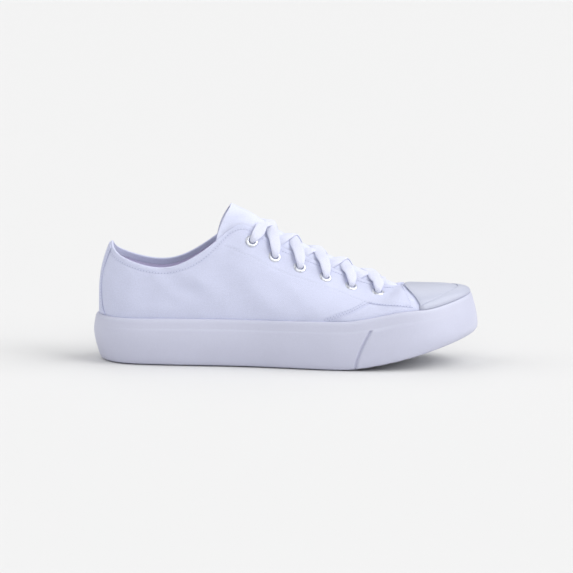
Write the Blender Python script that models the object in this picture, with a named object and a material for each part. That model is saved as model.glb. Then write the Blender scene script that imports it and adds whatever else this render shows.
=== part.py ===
"""A white canvas sneaker, right shoe, standing on its sole: toe along +X, lateral side along -Y.

The shoe is described by stations round its outline. Station 0 is the toe tip, 21 the middle of the heel,
and the numbers run down the lateral side and back up the medial side. At each station a rib rises from
the foxing to the collar, to the throat edge or, over the toes, to the ridge of the vamp.
"""

import math
from collections import namedtuple

import bmesh
import bpy
import numpy as np

# Main sizes of the last and the shoe, in metres
LENGTH = 0.295
BALL_WIDTH = 0.107
WAIST_WIDTH = 0.0765
HEEL_WIDTH = 0.0765
TOE_SPRING = 0.0245
TOE_HEIGHT = 0.0588
INSTEP_HEIGHT = 0.1058
ANKLE_HEIGHT = 0.0740
HEEL_HEIGHT = 0.0905
THROAT_WIDTH = 0.0340
COLLAR_WIDTH = 0.0606
TONGUE_HEIGHT = 0.1205

# Walls, layers and clearances
CANVAS = 0.0020
FOXING_HEIGHT = 0.0366
FOXING_WALL = 0.0024
TOE_CAP = 0.0014
BUMPER = 0.0022
BUMPER_WIDTH = 0.0096
BUMPER_END_WIDTH = 0.0040
HEEL_STRIP = 0.0009
TONGUE = 0.0024
INSOLE = 0.0035
INSOLE_CUP = 0.0012
PLATFORM = 0.0125
HEEL_LIFT = 0.0050
GAP = 0.0003
OVERLAY_GAP = 0.0008
TONGUE_GAP = 0.0012

# Side of the foxing: the step under its top edge and the lap of its two ends. The lap's place, its slant and the
# width of its edge are in stations.
FOXING_STEP = 0.0004
STEP_SHARE = 0.78
STEP_EDGE = 0.012
LAP = 0.0007
LAP_STATION = 8.55
LAP_LEAN = 0.55
LAP_SPREAD = 1.6
LAP_EDGE = 0.06

# Tread. The two flat pads and the arch are placed by their shares of the length, from the heel.
HEEL_PAD = 0.155
BALL_PAD = 0.605
ARCH_BACK = 0.30
ARCH_FRONT = 0.44
LUG_DEPTH = 0.0022
LUG_LENGTH = 0.0080
GROOVE = 0.0032
PAD_LENGTH = 0.0260
ARCH_RELIEF = 0.0010
TREAD_MARGIN = 0.0012
EDGE_LIFT = 0.0005

# Eyelets and lace
EYELETS = 6
EYELET_PITCH = 0.0209
EYELET_SIDES = 10
EYELET_FLANGE = 0.0050
EYELET_BORE = 0.0022
EYELET_BARREL = 0.0028
EYELET_RISE = 0.0007
EYELET_SEAT = 0.0008
EYELET_INSET = 0.0105
EYELET_SPREAD = 0.0030
FIRST_EYELET = 0.0172
LACE_WIDTH = 0.0084
LACE = 0.0015
LACE_GAP = 0.0020
LACE_OVER_EYELET = 0.0005

# Rows from the toe tip to the heel. along runs from 0 at the heel to 1 at the toe. lateral and medial are the
# outline's distances from the middle line. tuck is how far the foxing's foot lies in from its fullest line,
# lean how far its top edge does, and bulge the share of its height where it is fullest.
Sole = namedtuple("Sole", "along lateral medial foxing tuck lean bulge lift")
SOLE_ROWS = (
    Sole(1.000, -0.065 * BALL_WIDTH, 0.065 * BALL_WIDTH, 0.81, 0.0018, 0.0055, 0.12, 0.0),
    Sole(0.987, 0.089 * BALL_WIDTH, 0.210 * BALL_WIDTH, 0.82, 0.0018, 0.0053, 0.13, 0.0),
    Sole(0.958, 0.210 * BALL_WIDTH, 0.313 * BALL_WIDTH, 0.84, 0.0020, 0.0048, 0.17, 0.0),
    Sole(0.915, 0.322 * BALL_WIDTH, 0.393 * BALL_WIDTH, 0.87, 0.0023, 0.0040, 0.23, 0.0),
    Sole(0.873, 0.397 * BALL_WIDTH, 0.444 * BALL_WIDTH, 0.91, 0.0026, 0.0031, 0.30, 0.0),
    Sole(0.836, 0.442 * BALL_WIDTH, 0.470 * BALL_WIDTH, 0.97, 0.0026, 0.0024, 0.36, 0.0),
    Sole(0.792, 0.476 * BALL_WIDTH, 0.488 * BALL_WIDTH, 1.03, 0.0026, 0.0018, 0.42, 0.0),
    Sole(0.758, 0.492 * BALL_WIDTH, 0.493 * BALL_WIDTH, 1.04, 0.0026, 0.0015, 0.46, 0.0),
    Sole(0.724, 0.500 * BALL_WIDTH, 0.491 * BALL_WIDTH, 1.04, 0.0026, 0.0013, 0.50, 0.0),
    Sole(0.669, 0.502 * BALL_WIDTH, 0.477 * BALL_WIDTH, 1.03, 0.0026, 0.0012, 0.52, 0.0),
    Sole(0.602, 0.486 * BALL_WIDTH, 0.435 * BALL_WIDTH, 1.02, 0.0026, 0.0012, 0.52, 0.1),
    Sole(0.527, 0.625 * WAIST_WIDTH, 0.523 * WAIST_WIDTH, 1.01, 0.0026, 0.0012, 0.52, 0.3),
    Sole(0.453, 0.569 * WAIST_WIDTH, 0.458 * WAIST_WIDTH, 1.00, 0.0027, 0.0012, 0.52, 0.5),
    Sole(0.388, 0.533 * WAIST_WIDTH, 0.431 * WAIST_WIDTH, 1.00, 0.0029, 0.0012, 0.53, 0.7),
    Sole(0.341, 0.520 * WAIST_WIDTH, 0.430 * WAIST_WIDTH, 1.00, 0.0031, 0.0013, 0.54, 0.8),
    Sole(0.290, 0.514 * WAIST_WIDTH, 0.442 * WAIST_WIDTH, 1.00, 0.0034, 0.0014, 0.56, 0.9),
    Sole(0.222, 0.510 * HEEL_WIDTH, 0.468 * HEEL_WIDTH, 1.00, 0.0038, 0.0015, 0.58, 1.0),
    Sole(0.154, 0.497 * HEEL_WIDTH, 0.478 * HEEL_WIDTH, 0.99, 0.0044, 0.0016, 0.60, 1.0),
    Sole(0.093, 0.462 * HEEL_WIDTH, 0.458 * HEEL_WIDTH, 0.98, 0.0046, 0.0018, 0.62, 1.0),
    Sole(0.046, 0.370 * HEEL_WIDTH, 0.370 * HEEL_WIDTH, 0.98, 0.0052, 0.0019, 0.63, 1.0),
    Sole(0.0136, 0.205 * HEEL_WIDTH, 0.206 * HEEL_WIDTH, 0.98, 0.0056, 0.0020, 0.64, 1.0),
    Sole(0.000, 0.0, 0.0, 0.98, 0.0058, 0.0020, 0.64, 1.0),
)

# The ribs' upper ends, a row for each row above: the ridge of the toe box, the throat edge, then the collar.
# middle and half place the end across the shoe. rise and turn aim the rib there, in degrees. swell is how far it
# leans out above the foxing, and low and high are its two handles as shares of the distance between its ends.
Top = namedtuple("Top", "along middle half height rise turn swell low high")
TOP_ROWS = (
    Top(0.8915, 0.0052, 0.0, 0.995 * TOE_HEIGHT, 0, 90, 2, 0.18, 0.52),
    Top(0.8875, 0.0051, 0.0, 0.997 * TOE_HEIGHT, 0, 62, 2, 0.19, 0.51),
    Top(0.8745, 0.0049, 0.0, 0.999 * TOE_HEIGHT, 0, 40, 2, 0.20, 0.50),
    Top(0.8540, 0.0045, 0.0, 1.000 * TOE_HEIGHT, 0, 22, 3, 0.21, 0.49),
    Top(0.8305, 0.0040, 0.0, 1.000 * TOE_HEIGHT, 0, 9, 3, 0.22, 0.48),
    Top(0.8068, 0.0035, 0.0, 1.002 * TOE_HEIGHT, 0, 0, 3, 0.23, 0.47),
    Top(0.7915, 0.0033, 0.0, 1.006 * TOE_HEIGHT, 0, 0, 3, 0.24, 0.46),
    Top(0.7820, 0.0031, 0.20 * THROAT_WIDTH, 1.009 * TOE_HEIGHT, 12, 0, 3, 0.24, 0.45),
    Top(0.7593, 0.0029, 0.29 * THROAT_WIDTH, 1.016 * TOE_HEIGHT, 22, 0, 4, 0.24, 0.44),
    Top(0.7000, 0.0024, 0.35 * THROAT_WIDTH, 0.606 * INSTEP_HEIGHT, 31, 0, 4, 0.25, 0.43),
    Top(0.6254, 0.0018, 0.40 * THROAT_WIDTH, 0.682 * INSTEP_HEIGHT, 38, 0, 5, 0.25, 0.42),
    Top(0.5440, 0.0012, 0.44 * THROAT_WIDTH, 0.777 * INSTEP_HEIGHT, 44, 0, 6, 0.26, 0.41),
    Top(0.4627, 0.0006, 0.47 * THROAT_WIDTH, 0.878 * INSTEP_HEIGHT, 50, 0, 7, 0.27, 0.40),
    Top(0.3881, 0.0002, 0.50 * THROAT_WIDTH, 1.000 * INSTEP_HEIGHT, 56, 0, 8, 0.28, 0.38),
    Top(0.3475, 0.0, 0.335 * COLLAR_WIDTH, 0.958 * INSTEP_HEIGHT, 62, -3, 8, 0.29, 0.37),
    Top(0.3153, 0.0, 0.415 * COLLAR_WIDTH, 0.885 * INSTEP_HEIGHT, 67, -6, 9, 0.30, 0.36),
    Top(0.2560, 0.0, 0.485 * COLLAR_WIDTH, 1.098 * ANKLE_HEIGHT, 72, -10, 9, 0.31, 0.36),
    Top(0.1880, 0.0, 0.500 * COLLAR_WIDTH, 1.000 * ANKLE_HEIGHT, 74, -16, 10, 0.32, 0.37),
    Top(0.1203, 0.0, 0.450 * COLLAR_WIDTH, 0.840 * HEEL_HEIGHT, 74, -32, 7, 0.34, 0.40),
    Top(0.0729, 0.0, 0.343 * COLLAR_WIDTH, 0.896 * HEEL_HEIGHT, 72, -55, 3, 0.36, 0.42),
    Top(0.0492, 0.0, 0.178 * COLLAR_WIDTH, 0.954 * HEEL_HEIGHT, 69, -75, 0, 0.36, 0.44),
    Top(0.0434, 0.0, 0.0, 1.000 * HEEL_HEIGHT, 67, -90, -1, 0.36, 0.45),
)

# The tongue's ridge, from under the vamp to its free end, with the station whose ribs it joins
Ridge = namedtuple("Ridge", "station along height")
TONGUE_ROWS = (
    Ridge(6.6, 0.7870, 0.985 * TOE_HEIGHT),
    Ridge(8.0, 0.7610, 1.030 * TOE_HEIGHT),
    Ridge(9.0, 0.7034, 0.640 * INSTEP_HEIGHT),
    Ridge(10.0, 0.6305, 0.727 * INSTEP_HEIGHT),
    Ridge(11.0, 0.5520, 0.822 * INSTEP_HEIGHT),
    Ridge(12.0, 0.4750, 0.938 * INSTEP_HEIGHT),
    Ridge(13.0, 0.4160, 0.917 * TONGUE_HEIGHT),
    Ridge(14.0, 0.3830, 0.962 * TONGUE_HEIGHT),
    Ridge(14.8, 0.3560, 1.000 * TONGUE_HEIGHT),
)
TONGUE_UNDER = 0.012
TONGUE_FRONT = 5.3
TONGUE_ROUND = 0.48

# How a strap of the lace lies over the tongue, on the side where it comes from its eyelet and on the one where it
# goes under the throat edge. share runs from the throat edge to the tongue's ridge, and lift is added to LACE_GAP.
Rest = namedtuple("Rest", "share lift")
LACE_NEAR = (Rest(0.35, 0.0017), Rest(0.70, 0.0010))
LACE_FAR = (Rest(0.70, 0.0), Rest(0.42, 0.0))
LACE_TOP = 0.0008

ROWS = len(SOLE_ROWS) - 1
ROUND = 2 * ROWS
THROAT_END = 6
EYESTAY_END = 14
CAP_EDGE = 5
BUMPER_END = 5.35
SPRING_START = 0.65
SPRING_POWER = 1.38
RIB_STEP = 0.5
STATIONS = np.arange(0, ROUND, RIB_STEP)

COLOURS = {
    "canvas": (0.60, 0.62, 0.76, 1.0),
    "rubber": (0.56, 0.58, 0.68, 1.0),
    "metal": (0.78, 0.79, 0.82, 1.0),
    "cotton": (0.78, 0.80, 0.90, 1.0),
    "lining": (0.62, 0.62, 0.74, 1.0),
}


# Curves through the rows


def smooth_curve(knots, values):
    """A smooth curve through the values at the knots, as a function of the place along the knots."""
    knots = np.asarray(knots, float)
    values = np.asarray(values, float)
    steps = np.diff(knots)
    last = len(knots) - 1
    matrix = np.eye(last + 1)
    pull = np.zeros_like(values)
    for i in range(1, last):
        matrix[i, i - 1 : i + 2] = steps[i - 1], 2 * (steps[i - 1] + steps[i]), steps[i]
        slope_after = (values[i + 1] - values[i]) / steps[i]
        slope_before = (values[i] - values[i - 1]) / steps[i - 1]
        pull[i] = 6 * (slope_after - slope_before)
    bends = np.linalg.solve(matrix, pull)

    def read(place):
        place = np.asarray(place, float)
        i = np.clip(np.searchsorted(knots, place, side="right") - 1, 0, last - 1)
        step = steps[i][..., None]
        after = ((place - knots[i]) / steps[i])[..., None]
        before = 1 - after
        curved = (before**3 - before) * bends[i] + (after**3 - after) * bends[i + 1]
        return before * values[i] + after * values[i + 1] + curved * step * step / 6

    return read


def both_sides(lateral, medial):
    """Rows for every whole station round the shoe, from the rows of its two sides."""
    return np.array(list(lateral) + list(reversed(medial))[1:-1], float)


def round_the_shoe(rows):
    """A closed smooth curve through one row for each station, read by station."""
    wrap = 5
    order = np.arange(-wrap, ROUND + wrap + 1)
    curve = smooth_curve(distance_round(order), rows[order % ROUND])
    return lambda station: curve(distance_round(np.asarray(station, float)))


def from_heel(along):
    return (np.asarray(along, float) - 0.5) * LENGTH


OUTLINE_ROWS = both_sides(
    [(from_heel(row.along), -row.lateral) for row in SOLE_ROWS],
    [(from_heel(row.along), row.medial) for row in SOLE_ROWS],
)
STEPS_ROUND = np.linalg.norm(np.roll(OUTLINE_ROWS, -1, axis=0) - OUTLINE_ROWS, axis=1)


def distance_round(station):
    """The distance round the outline at a station, which may lie before 0 or past the last one."""
    ends = np.concatenate([[0.0], np.cumsum(STEPS_ROUND)])
    turns = np.floor(np.asarray(station, float) / ROUND)
    return turns * ends[-1] + np.interp(station - turns * ROUND, np.arange(ROUND + 1), ends)


OUTLINE = round_the_shoe(OUTLINE_ROWS)
SIDE_ROWS = [(FOXING_HEIGHT * row.foxing, row.tuck, row.lean, row.bulge, row.lift) for row in SOLE_ROWS]
SIDE = round_the_shoe(both_sides(SIDE_ROWS, SIDE_ROWS))


def aim(turn, side):
    """The direction across the shoe in which a rib arrives, seen from above."""
    return -math.sin(math.radians(turn)), side * math.cos(math.radians(turn))


def shape_rows(side):
    rows = []
    for row in TOP_ROWS:
        rise, swell = math.radians(row.rise), math.radians(row.swell)
        rows.append((*aim(row.turn, side), rise, swell, row.low, row.high))
    return rows


SHAPE = round_the_shoe(both_sides(shape_rows(1), shape_rows(-1)))


def end_rows(side):
    return [(from_heel(row.along), row.middle + side * row.half, row.height) for row in TOP_ROWS]


END_ROWS = both_sides(end_rows(-1), end_rows(1))


def part_curve(first, last):
    order = np.arange(first, last + 1)
    return smooth_curve(distance_round(order), END_ROWS[order % ROUND])


RIDGE_CURVE = part_curve(-THROAT_END, THROAT_END)
EDGE_CURVE = part_curve(THROAT_END, ROUND - THROAT_END)


def top_end(station):
    """Where a rib ends: on the ridge over the toes, or on the edge of the throat and collar."""
    station = np.asarray(station, float) % ROUND
    near_toe = (station < THROAT_END) | (station > ROUND - THROAT_END)
    signed = np.where(station > ROWS, station - ROUND, station)
    ridge = RIDGE_CURVE(distance_round(signed))
    edge = EDGE_CURVE(distance_round(station))
    return np.where(near_toe[..., None], ridge, edge)


# The surfaces that every piece is cut from


def spring(x):
    """How far the sole lifts off the ground towards the toe."""
    start = from_heel(SPRING_START)
    share = np.clip((np.asarray(x, float) - start) / (LENGTH / 2 - start), 0, None)
    return TOE_SPRING * share**SPRING_POWER


def outline_normal(station):
    """The outline's outward direction, seen from above."""
    along = OUTLINE(station + 0.02) - OUTLINE(station - 0.02)
    normal = np.stack([along[..., 1], -along[..., 0]], axis=-1)
    return -normal / np.linalg.norm(normal, axis=-1, keepdims=True)


def inset_point(station, inset):
    """A point of the outline moved in by the inset, seen from above."""
    return OUTLINE(station) - outline_normal(station) * np.asarray(inset, float)[..., None]


def floor_height(x, lift):
    """The top of the platform under the insole."""
    return spring(x) + PLATFORM + HEEL_LIFT * lift


def platform_height(x):
    """The top of the platform, with the heel's lift read from the lateral side's stations."""
    lateral = STATIONS[: 2 * ROWS + 1]
    places = OUTLINE(lateral)[::-1, 0]
    lifts = SIDE(lateral)[::-1, 4]
    return floor_height(x, np.interp(x, places, lifts))


def canvas_point(station, height):
    """A point of the canvas. height runs from -1 at the feather edge, through 0 at the foxing, to 1 at the end."""
    station, height = np.broadcast_arrays(np.asarray(station, float), np.asarray(height, float))
    foxing, _, lean, _, lift = np.moveaxis(SIDE(station), -1, 0)
    aim_x, aim_y, rise, swell, low, high = np.moveaxis(SHAPE(station), -1, 0)
    foot = inset_point(station, lean + FOXING_WALL + GAP)
    top = spring(OUTLINE(station)[..., 0]) + foxing
    start = np.concatenate([foot, top[..., None]], axis=-1)
    end = top_end(station)
    span = np.linalg.norm(end - start, axis=-1)[..., None]
    out = outline_normal(station)
    leave = np.concatenate([out * np.sin(swell)[..., None], np.cos(swell)[..., None]], axis=-1)
    across = np.stack([aim_x, aim_y], axis=-1)
    across = across / np.linalg.norm(across, axis=-1, keepdims=True)
    arrive = np.concatenate([across * np.cos(rise)[..., None], np.sin(rise)[..., None]], axis=-1)
    second = start + leave * span * low[..., None]
    third = end - arrive * span * high[..., None]
    t = np.clip(height, 0, 1)[..., None]
    curve = start * (1 - t) ** 3 + 3 * second * t * (1 - t) ** 2 + 3 * third * t**2 * (1 - t) + end * t**3
    base = floor_height(foot[..., 0], lift) + GAP
    drop = np.clip(-height, 0, 1) * (top - base)
    curve[..., 2] -= drop
    return curve


def canvas_normal(station, height):
    """The canvas's outward direction."""
    station, height = np.broadcast_arrays(np.asarray(station, float), np.asarray(height, float))
    step = 0.02
    beside = np.minimum(height, 0.95)
    along = canvas_point(station + step, beside) - canvas_point(station - step, beside)
    above, below = np.minimum(height + step, 1), np.maximum(height - step, -1)
    up = canvas_point(station, above) - canvas_point(station, below)
    normal = np.cross(up, along)
    return normal / np.linalg.norm(normal, axis=-1, keepdims=True)


def canvas(station, height, offset):
    """A point that lies the offset outside the canvas's face, or inside it where the offset is negative."""
    return canvas_point(station, height) + canvas_normal(station, height) * offset


def height_from_end(station, distance):
    """The rib height whose length along the rib to its upper end is the distance."""
    heights = np.linspace(1, 0, 41)
    points = canvas_point(float(station), heights)
    lengths = np.concatenate([[0.0], np.cumsum(np.linalg.norm(np.diff(points, axis=0), axis=1))])
    return float(np.interp(distance, lengths, heights))


def height_from_foxing(station, distance):
    """The rib height whose length along the rib from the foxing is the distance."""
    heights = np.linspace(0, 1, 41)
    points = canvas_point(float(station), heights)
    lengths = np.concatenate([[0.0], np.cumsum(np.linalg.norm(np.diff(points, axis=0), axis=1))])
    return float(np.interp(distance, lengths, heights))


# Meshes


def grid_faces(index, closed):
    """Quads between the neighbouring ribs of a grid of point numbers."""
    faces = []
    ribs = len(index)
    for k in range(ribs if closed else ribs - 1):
        here, there = index[k], index[(k + 1) % ribs]
        for j in range(len(here) - 1):
            loop = [int(n) for n in (here[j], there[j], there[j + 1], here[j + 1])]
            faces.append([n for i, n in enumerate(loop) if n not in loop[:i]])
    return faces


def make_object(name, points, faces, colour):
    mesh = bpy.data.meshes.new(name)
    mesh.from_pydata([tuple(map(float, point)) for point in points], [], faces)
    work = bmesh.new()
    work.from_mesh(mesh)
    bmesh.ops.remove_doubles(work, verts=work.verts, dist=1e-6)
    bmesh.ops.recalc_face_normals(work, faces=work.faces)
    work.to_mesh(mesh)
    work.free()
    thing = bpy.data.objects.new(name, mesh)
    PARTS.objects.link(thing)
    finish(thing, colour)
    return thing


def finish(thing, colour):
    thing.data.materials.clear()
    thing.data.materials.append(MATERIALS[colour])
    thing.data.shade_smooth()
    thing.data.set_sharp_from_angle(angle=math.radians(35))


def sheet_solid(name, outer, inner, closed, colour, ridge=()):
    """A wall between two grids of points, closed round the edges. ridge pairs the ribs that share their ends."""
    ribs, rows = outer.shape[:2]
    index = np.arange(ribs * rows).reshape(ribs, rows)
    outer, inner = outer.copy(), inner.copy()
    for one, other in ridge:
        index[other, -1] = index[one, -1]
        for grid in (outer, inner):
            grid[one, -1] = grid[other, -1] = (grid[one, -1] + grid[other, -1]) / 2
    faces = grid_faces(index, closed)
    edges = {(a, b) for face in faces for a, b in zip(face, face[1:] + face[:1])}
    count = ribs * rows
    walls = [[b, a, a + count, b + count] for a, b in edges if (b, a) not in edges]
    back = [[n + count for n in reversed(face)] for face in faces]
    points = np.concatenate([outer.reshape(-1, 3), inner.reshape(-1, 3)])
    used = sorted({n for face in faces + back + walls for n in face})
    renumber = {n: i for i, n in enumerate(used)}
    faces = [[renumber[n] for n in face] for face in faces + back + sorted(walls)]
    return make_object(name, points[used], faces, colour)


def slab(name, edge_top, edge_low, top_height, low_height, colour, columns=3):
    """A plate between two outlines of the same stations, with its faces carried across the shoe in columns."""
    ribs = len(edge_top)
    half = ribs // 2
    points, index = [], []
    for edge, height in ((edge_top, top_height), (edge_low, low_height)):
        sheet = []
        for k in range(half + 1):
            one, other = edge[k], edge[-k % ribs]
            row = []
            for share in np.linspace(0, 1, columns + 1):
                x, y = one * (1 - share) + other * share
                row.append(len(points))
                points.append((x, y, height(x, y, 0 if k in (0, half) else share)))
            sheet.append(row)
        index.append(np.array(sheet))
    top, low = index
    faces = grid_faces(top, False) + [face[::-1] for face in grid_faces(low, False)]
    rims = [list(sheet[:, 0]) + list(sheet[-2:0:-1, -1]) for sheet in index]
    for i in range(ribs):
        j = (i + 1) % ribs
        faces.append([int(rims[0][i]), int(rims[1][i]), int(rims[1][j]), int(rims[0][j])])
    return make_object(name, points, faces, colour)


def join_shapes(thing, others, operation):
    """Adds, cuts or keeps the others' space in a thing, and removes them."""
    for other in others:
        change = thing.modifiers.new(operation.lower(), "BOOLEAN")
        change.operation = operation
        change.solver = "EXACT"
        change.object = other
    made = bpy.data.meshes.new_from_object(thing.evaluated_get(bpy.context.evaluated_depsgraph_get()))
    thing.modifiers.clear()
    thing.data = made
    for other in others:
        bpy.data.objects.remove(other)


# Sole


def foxing_inset(station, share):
    """How far the foxing's face lies in from its fullest line, at a share of its height."""
    _, tuck, lean, bulge, _ = np.moveaxis(SIDE(station), -1, 0)
    below = np.clip((bulge - share) / bulge, 0, 1)
    above = np.clip((share - bulge) / (1 - bulge), 0, 1)
    return tuck * below**1.6 + lean * above**1.7


def lap_side(station):
    """1 on the toe side of the band's two laps, 0 behind them."""
    station = np.asarray(station, float) % ROUND
    return ((station <= LAP_STATION) | (station >= ROUND - LAP_STATION)).astype(float)


def foxing():
    """The rubber band round the shoe, with a lap on a slant at each side of the ball."""
    clear = 0.4 * RIB_STEP
    far = ROUND - LAP_STATION
    stations = [s for s in STATIONS if abs(s - LAP_STATION) > clear and abs(s - far) > clear]
    stations += [LAP_STATION, LAP_STATION + LAP_EDGE, far - LAP_EDGE, far]
    stations = np.array(sorted(stations))
    shares = np.array([0.0, 0.04, 0.16, 0.32, 0.50, STEP_SHARE - STEP_EDGE, STEP_SHARE, 0.94, 1.0])
    stepped_in = np.array([0, 0, 0, 0, 0, 0, 1, 1, 0.4]) * FOXING_STEP
    lapped = np.array([0, 0.3, 1, 1, 1, 1, 1, 1, 1]) * LAP
    folded = np.where(stations > ROWS, ROUND - stations, stations)
    near = np.exp(-(((folded - LAP_STATION) / LAP_SPREAD) ** 2))
    slant = LAP_LEAN * near * np.where(stations > ROWS, 1, -1)
    grid = stations[:, None] + slant[:, None] * (shares[None, :] - 0.5)
    on_lap = lap_side(stations)[:, None]
    inset = foxing_inset(grid, shares[None, :]) + stepped_in[None, :] - lapped[None, :] * on_lap
    plan = inset_point(grid, inset)
    height = SIDE(grid)[..., 0]
    low = spring(plan[..., 0]) + EDGE_LIFT
    high = spring(OUTLINE(grid)[..., 0]) + height
    outer = np.concatenate([plan, (low + (high - low) * shares[None, :])[..., None]], axis=-1)
    _, tuck, lean, _, lift = np.moveaxis(SIDE(stations), -1, 0)
    foot = inset_point(stations, np.maximum(tuck, lean) + FOXING_WALL)
    wall = inset_point(stations, lean + FOXING_WALL)
    top = spring(OUTLINE(stations)[..., 0]) + SIDE(stations)[..., 0]
    inner = [
        np.column_stack([wall, top]),
        np.column_stack([wall, floor_height(wall[:, 0], lift)]),
        np.column_stack([foot, spring(foot[:, 0]) + EDGE_LIFT]),
    ]
    section = np.concatenate([outer, np.stack(inner, axis=1)], axis=1)
    rows = section.shape[1]
    index = np.arange(len(stations) * rows).reshape(len(stations), rows)
    index = np.concatenate([index, index[:, :1]], axis=1)
    return make_object("foxing", section.reshape(-1, 3), grid_faces(index, True), "rubber")


def lug_spans():
    """The fore and aft ends of each tread bar, with how far it stops short of the ground."""
    heel, ball = from_heel(HEEL_PAD), from_heel(BALL_PAD)
    reach = PAD_LENGTH / 2
    spans = [(heel - reach, heel + reach, 0.0), (ball - reach, ball + reach, 0.0)]
    pitch = LUG_LENGTH + GROOVE
    starts = (
        (heel - reach - GROOVE, -1, from_heel(0)),
        (heel + reach + GROOVE, 1, (heel + ball) / 2),
        (ball - reach - GROOVE, -1, (heel + ball) / 2),
        (ball + reach + GROOVE, 1, from_heel(1)),
    )
    for start, way, stop in starts:
        count = int(abs(stop - start) / pitch)
        for i in range(count):
            one = start + way * i * pitch
            other = one + way * LUG_LENGTH
            middle = (one + other) / 2
            in_arch = from_heel(ARCH_BACK) < middle < from_heel(ARCH_FRONT)
            relief = ARCH_RELIEF if in_arch else 0.0
            spans.append((min(one, other), max(one, other), relief))
    return sorted(spans)


def outsole():
    """The bottom unit: the platform inside the foxing, with tread bars under it."""
    _, tuck, lean, _, _ = np.moveaxis(SIDE(STATIONS), -1, 0)
    low_edge = inset_point(STATIONS, np.maximum(tuck, lean) + FOXING_WALL + GAP)
    top_edge = inset_point(STATIONS, lean + FOXING_WALL + GAP)

    def top(x, y, share):
        return platform_height(x)

    def low(x, y, share):
        return spring(x) + LUG_DEPTH

    body = slab("outsole", top_edge, low_edge, top, low, "rubber")
    bars = bmesh.new()
    for start, end, relief in lug_spans():
        for vert in bmesh.ops.create_cube(bars, size=1.0)["verts"]:
            x = start if vert.co.x < 0 else end
            z = spring(x) + (relief if vert.co.z < 0 else 1.5 * LUG_DEPTH)
            vert.co = (x, math.copysign(BALL_WIDTH, vert.co.y), z)
    mesh = bpy.data.meshes.new("tread")
    bars.to_mesh(mesh)
    bars.free()
    tread = bpy.data.objects.new("tread", mesh)
    PARTS.objects.link(tread)
    inside = inset_point(STATIONS, np.maximum(tuck, lean) + FOXING_WALL + GAP + TREAD_MARGIN)
    field = slab("field", inside, inside, lambda x, y, s: 2 * TOE_SPRING, lambda x, y, s: -LUG_DEPTH, "rubber", 1)
    join_shapes(tread, [field], "INTERSECT")
    join_shapes(body, [tread], "UNION")
    finish(body, "rubber")
    return body


def insole():
    """The footbed, a thin plate that fills the shoe from wall to wall."""
    lean = SIDE(STATIONS)[:, 2]
    edge = inset_point(STATIONS, lean + FOXING_WALL + GAP + CANVAS + GAP)

    def low(x, y, share):
        return platform_height(x) + GAP

    def top(x, y, share):
        return low(x, y, share) + INSOLE + INSOLE_CUP * (2 * share - 1) ** 2

    return slab("insole", edge, edge, top, low, "lining")


# Upper and what is laid over it


def upper():
    """Vamp and quarters as one wall, with the eyelet holes through it."""
    heights = np.array([-1.0, 0.0, 0.16, 0.36, 0.58, 0.8, 1.0])
    grid = np.broadcast_to(STATIONS[:, None], (len(STATIONS), len(heights)))
    over_toes = int(round(THROAT_END / RIB_STEP))
    ridge = [(k, len(STATIONS) - k) for k in range(1, over_toes + 1)]
    outer = canvas(grid, heights[None, :], 0.0)
    inner = canvas(grid, heights[None, :], -CANVAS)
    wall = sheet_solid("upper", outer, inner, True, "canvas", ridge)
    cutters = [eyelet_cutter(place, facing) for place, facing, *_ in eyelet_places()]
    join_shapes(wall, cutters, "DIFFERENCE")
    finish(wall, "canvas")
    return wall


def toe_stations(last):
    """Stations from one on the medial side, round the toe tip, to the same one on the lateral side."""
    count = int(round(last / RIB_STEP))
    return np.linspace(-last, last, 2 * count + 1)


def bumper_width(station):
    """The tape's width: widest at the toe tip, narrowing to its ends."""
    folded = min(station % ROUND, -station % ROUND)
    share = math.cos(math.pi / 2 * min(folded / CAP_EDGE, 1))
    return BUMPER_END_WIDTH + (BUMPER_WIDTH - BUMPER_END_WIDTH) * share


def toe_cap():
    """The rubber cap over the toes, up to its curved rear edge."""
    stations = toe_stations(CAP_EDGE)
    low = np.array([height_from_foxing(s % ROUND, bumper_width(s) + GAP) for s in stations])
    shares = np.array([0.0, 0.25, 0.5, 0.75, 1.0])
    heights = low[:, None] + (1 - low[:, None]) * shares[None, :]
    grid = np.broadcast_to(stations[:, None], heights.shape)
    outer = canvas(grid, heights, OVERLAY_GAP + TOE_CAP)
    inner = canvas(grid, heights, OVERLAY_GAP)
    half = len(stations) // 2
    ridge = [(half + k, half - k) for k in range(1, half + 1)]
    return sheet_solid("toe_cap", outer, inner, False, "rubber", ridge)


def toe_bumper():
    """The tape between the toe cap and the foxing, tapering out at both ends."""
    stations = toe_stations(BUMPER_END)
    ends = np.array([[height_from_foxing(s % ROUND, d) for d in (GAP, bumper_width(s))] for s in stations])
    shares = np.array([0.0, 0.2, 0.8, 1.0])
    heights = ends[:, :1] + (ends[:, 1:] - ends[:, :1]) * shares[None, :]
    grid = np.broadcast_to(stations[:, None], heights.shape)
    crown = np.array([0.75, 1.0, 1.0, 0.72])[None, :] * BUMPER
    outer = canvas(grid, heights, (OVERLAY_GAP + crown)[..., None])
    inner = canvas(grid, heights, OVERLAY_GAP)
    return sheet_solid("toe_bumper", outer, inner, False, "rubber")


def heel_strip():
    """The backstay over the heel seam, wider where it meets the foxing."""
    across = np.linspace(-1, 1, 7)
    heights = np.array([0.015, 0.10, 0.25, 0.45, 0.65, 0.85, 0.985])
    reach = np.array([1.25, 0.98, 0.80, 0.74, 0.78, 0.86, 0.95])
    grid = ROWS + across[:, None] * reach[None, :]
    heights = np.broadcast_to(heights[None, :], grid.shape)
    outer = canvas(grid, heights, OVERLAY_GAP + HEEL_STRIP)
    inner = canvas(grid, heights, OVERLAY_GAP)
    return sheet_solid("heel_strip", outer, inner, False, "canvas")


# Throat


def top_middle(station):
    ends = top_end(np.array([station, ROUND - station]))
    return float(ends[:, 1].mean())


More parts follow.
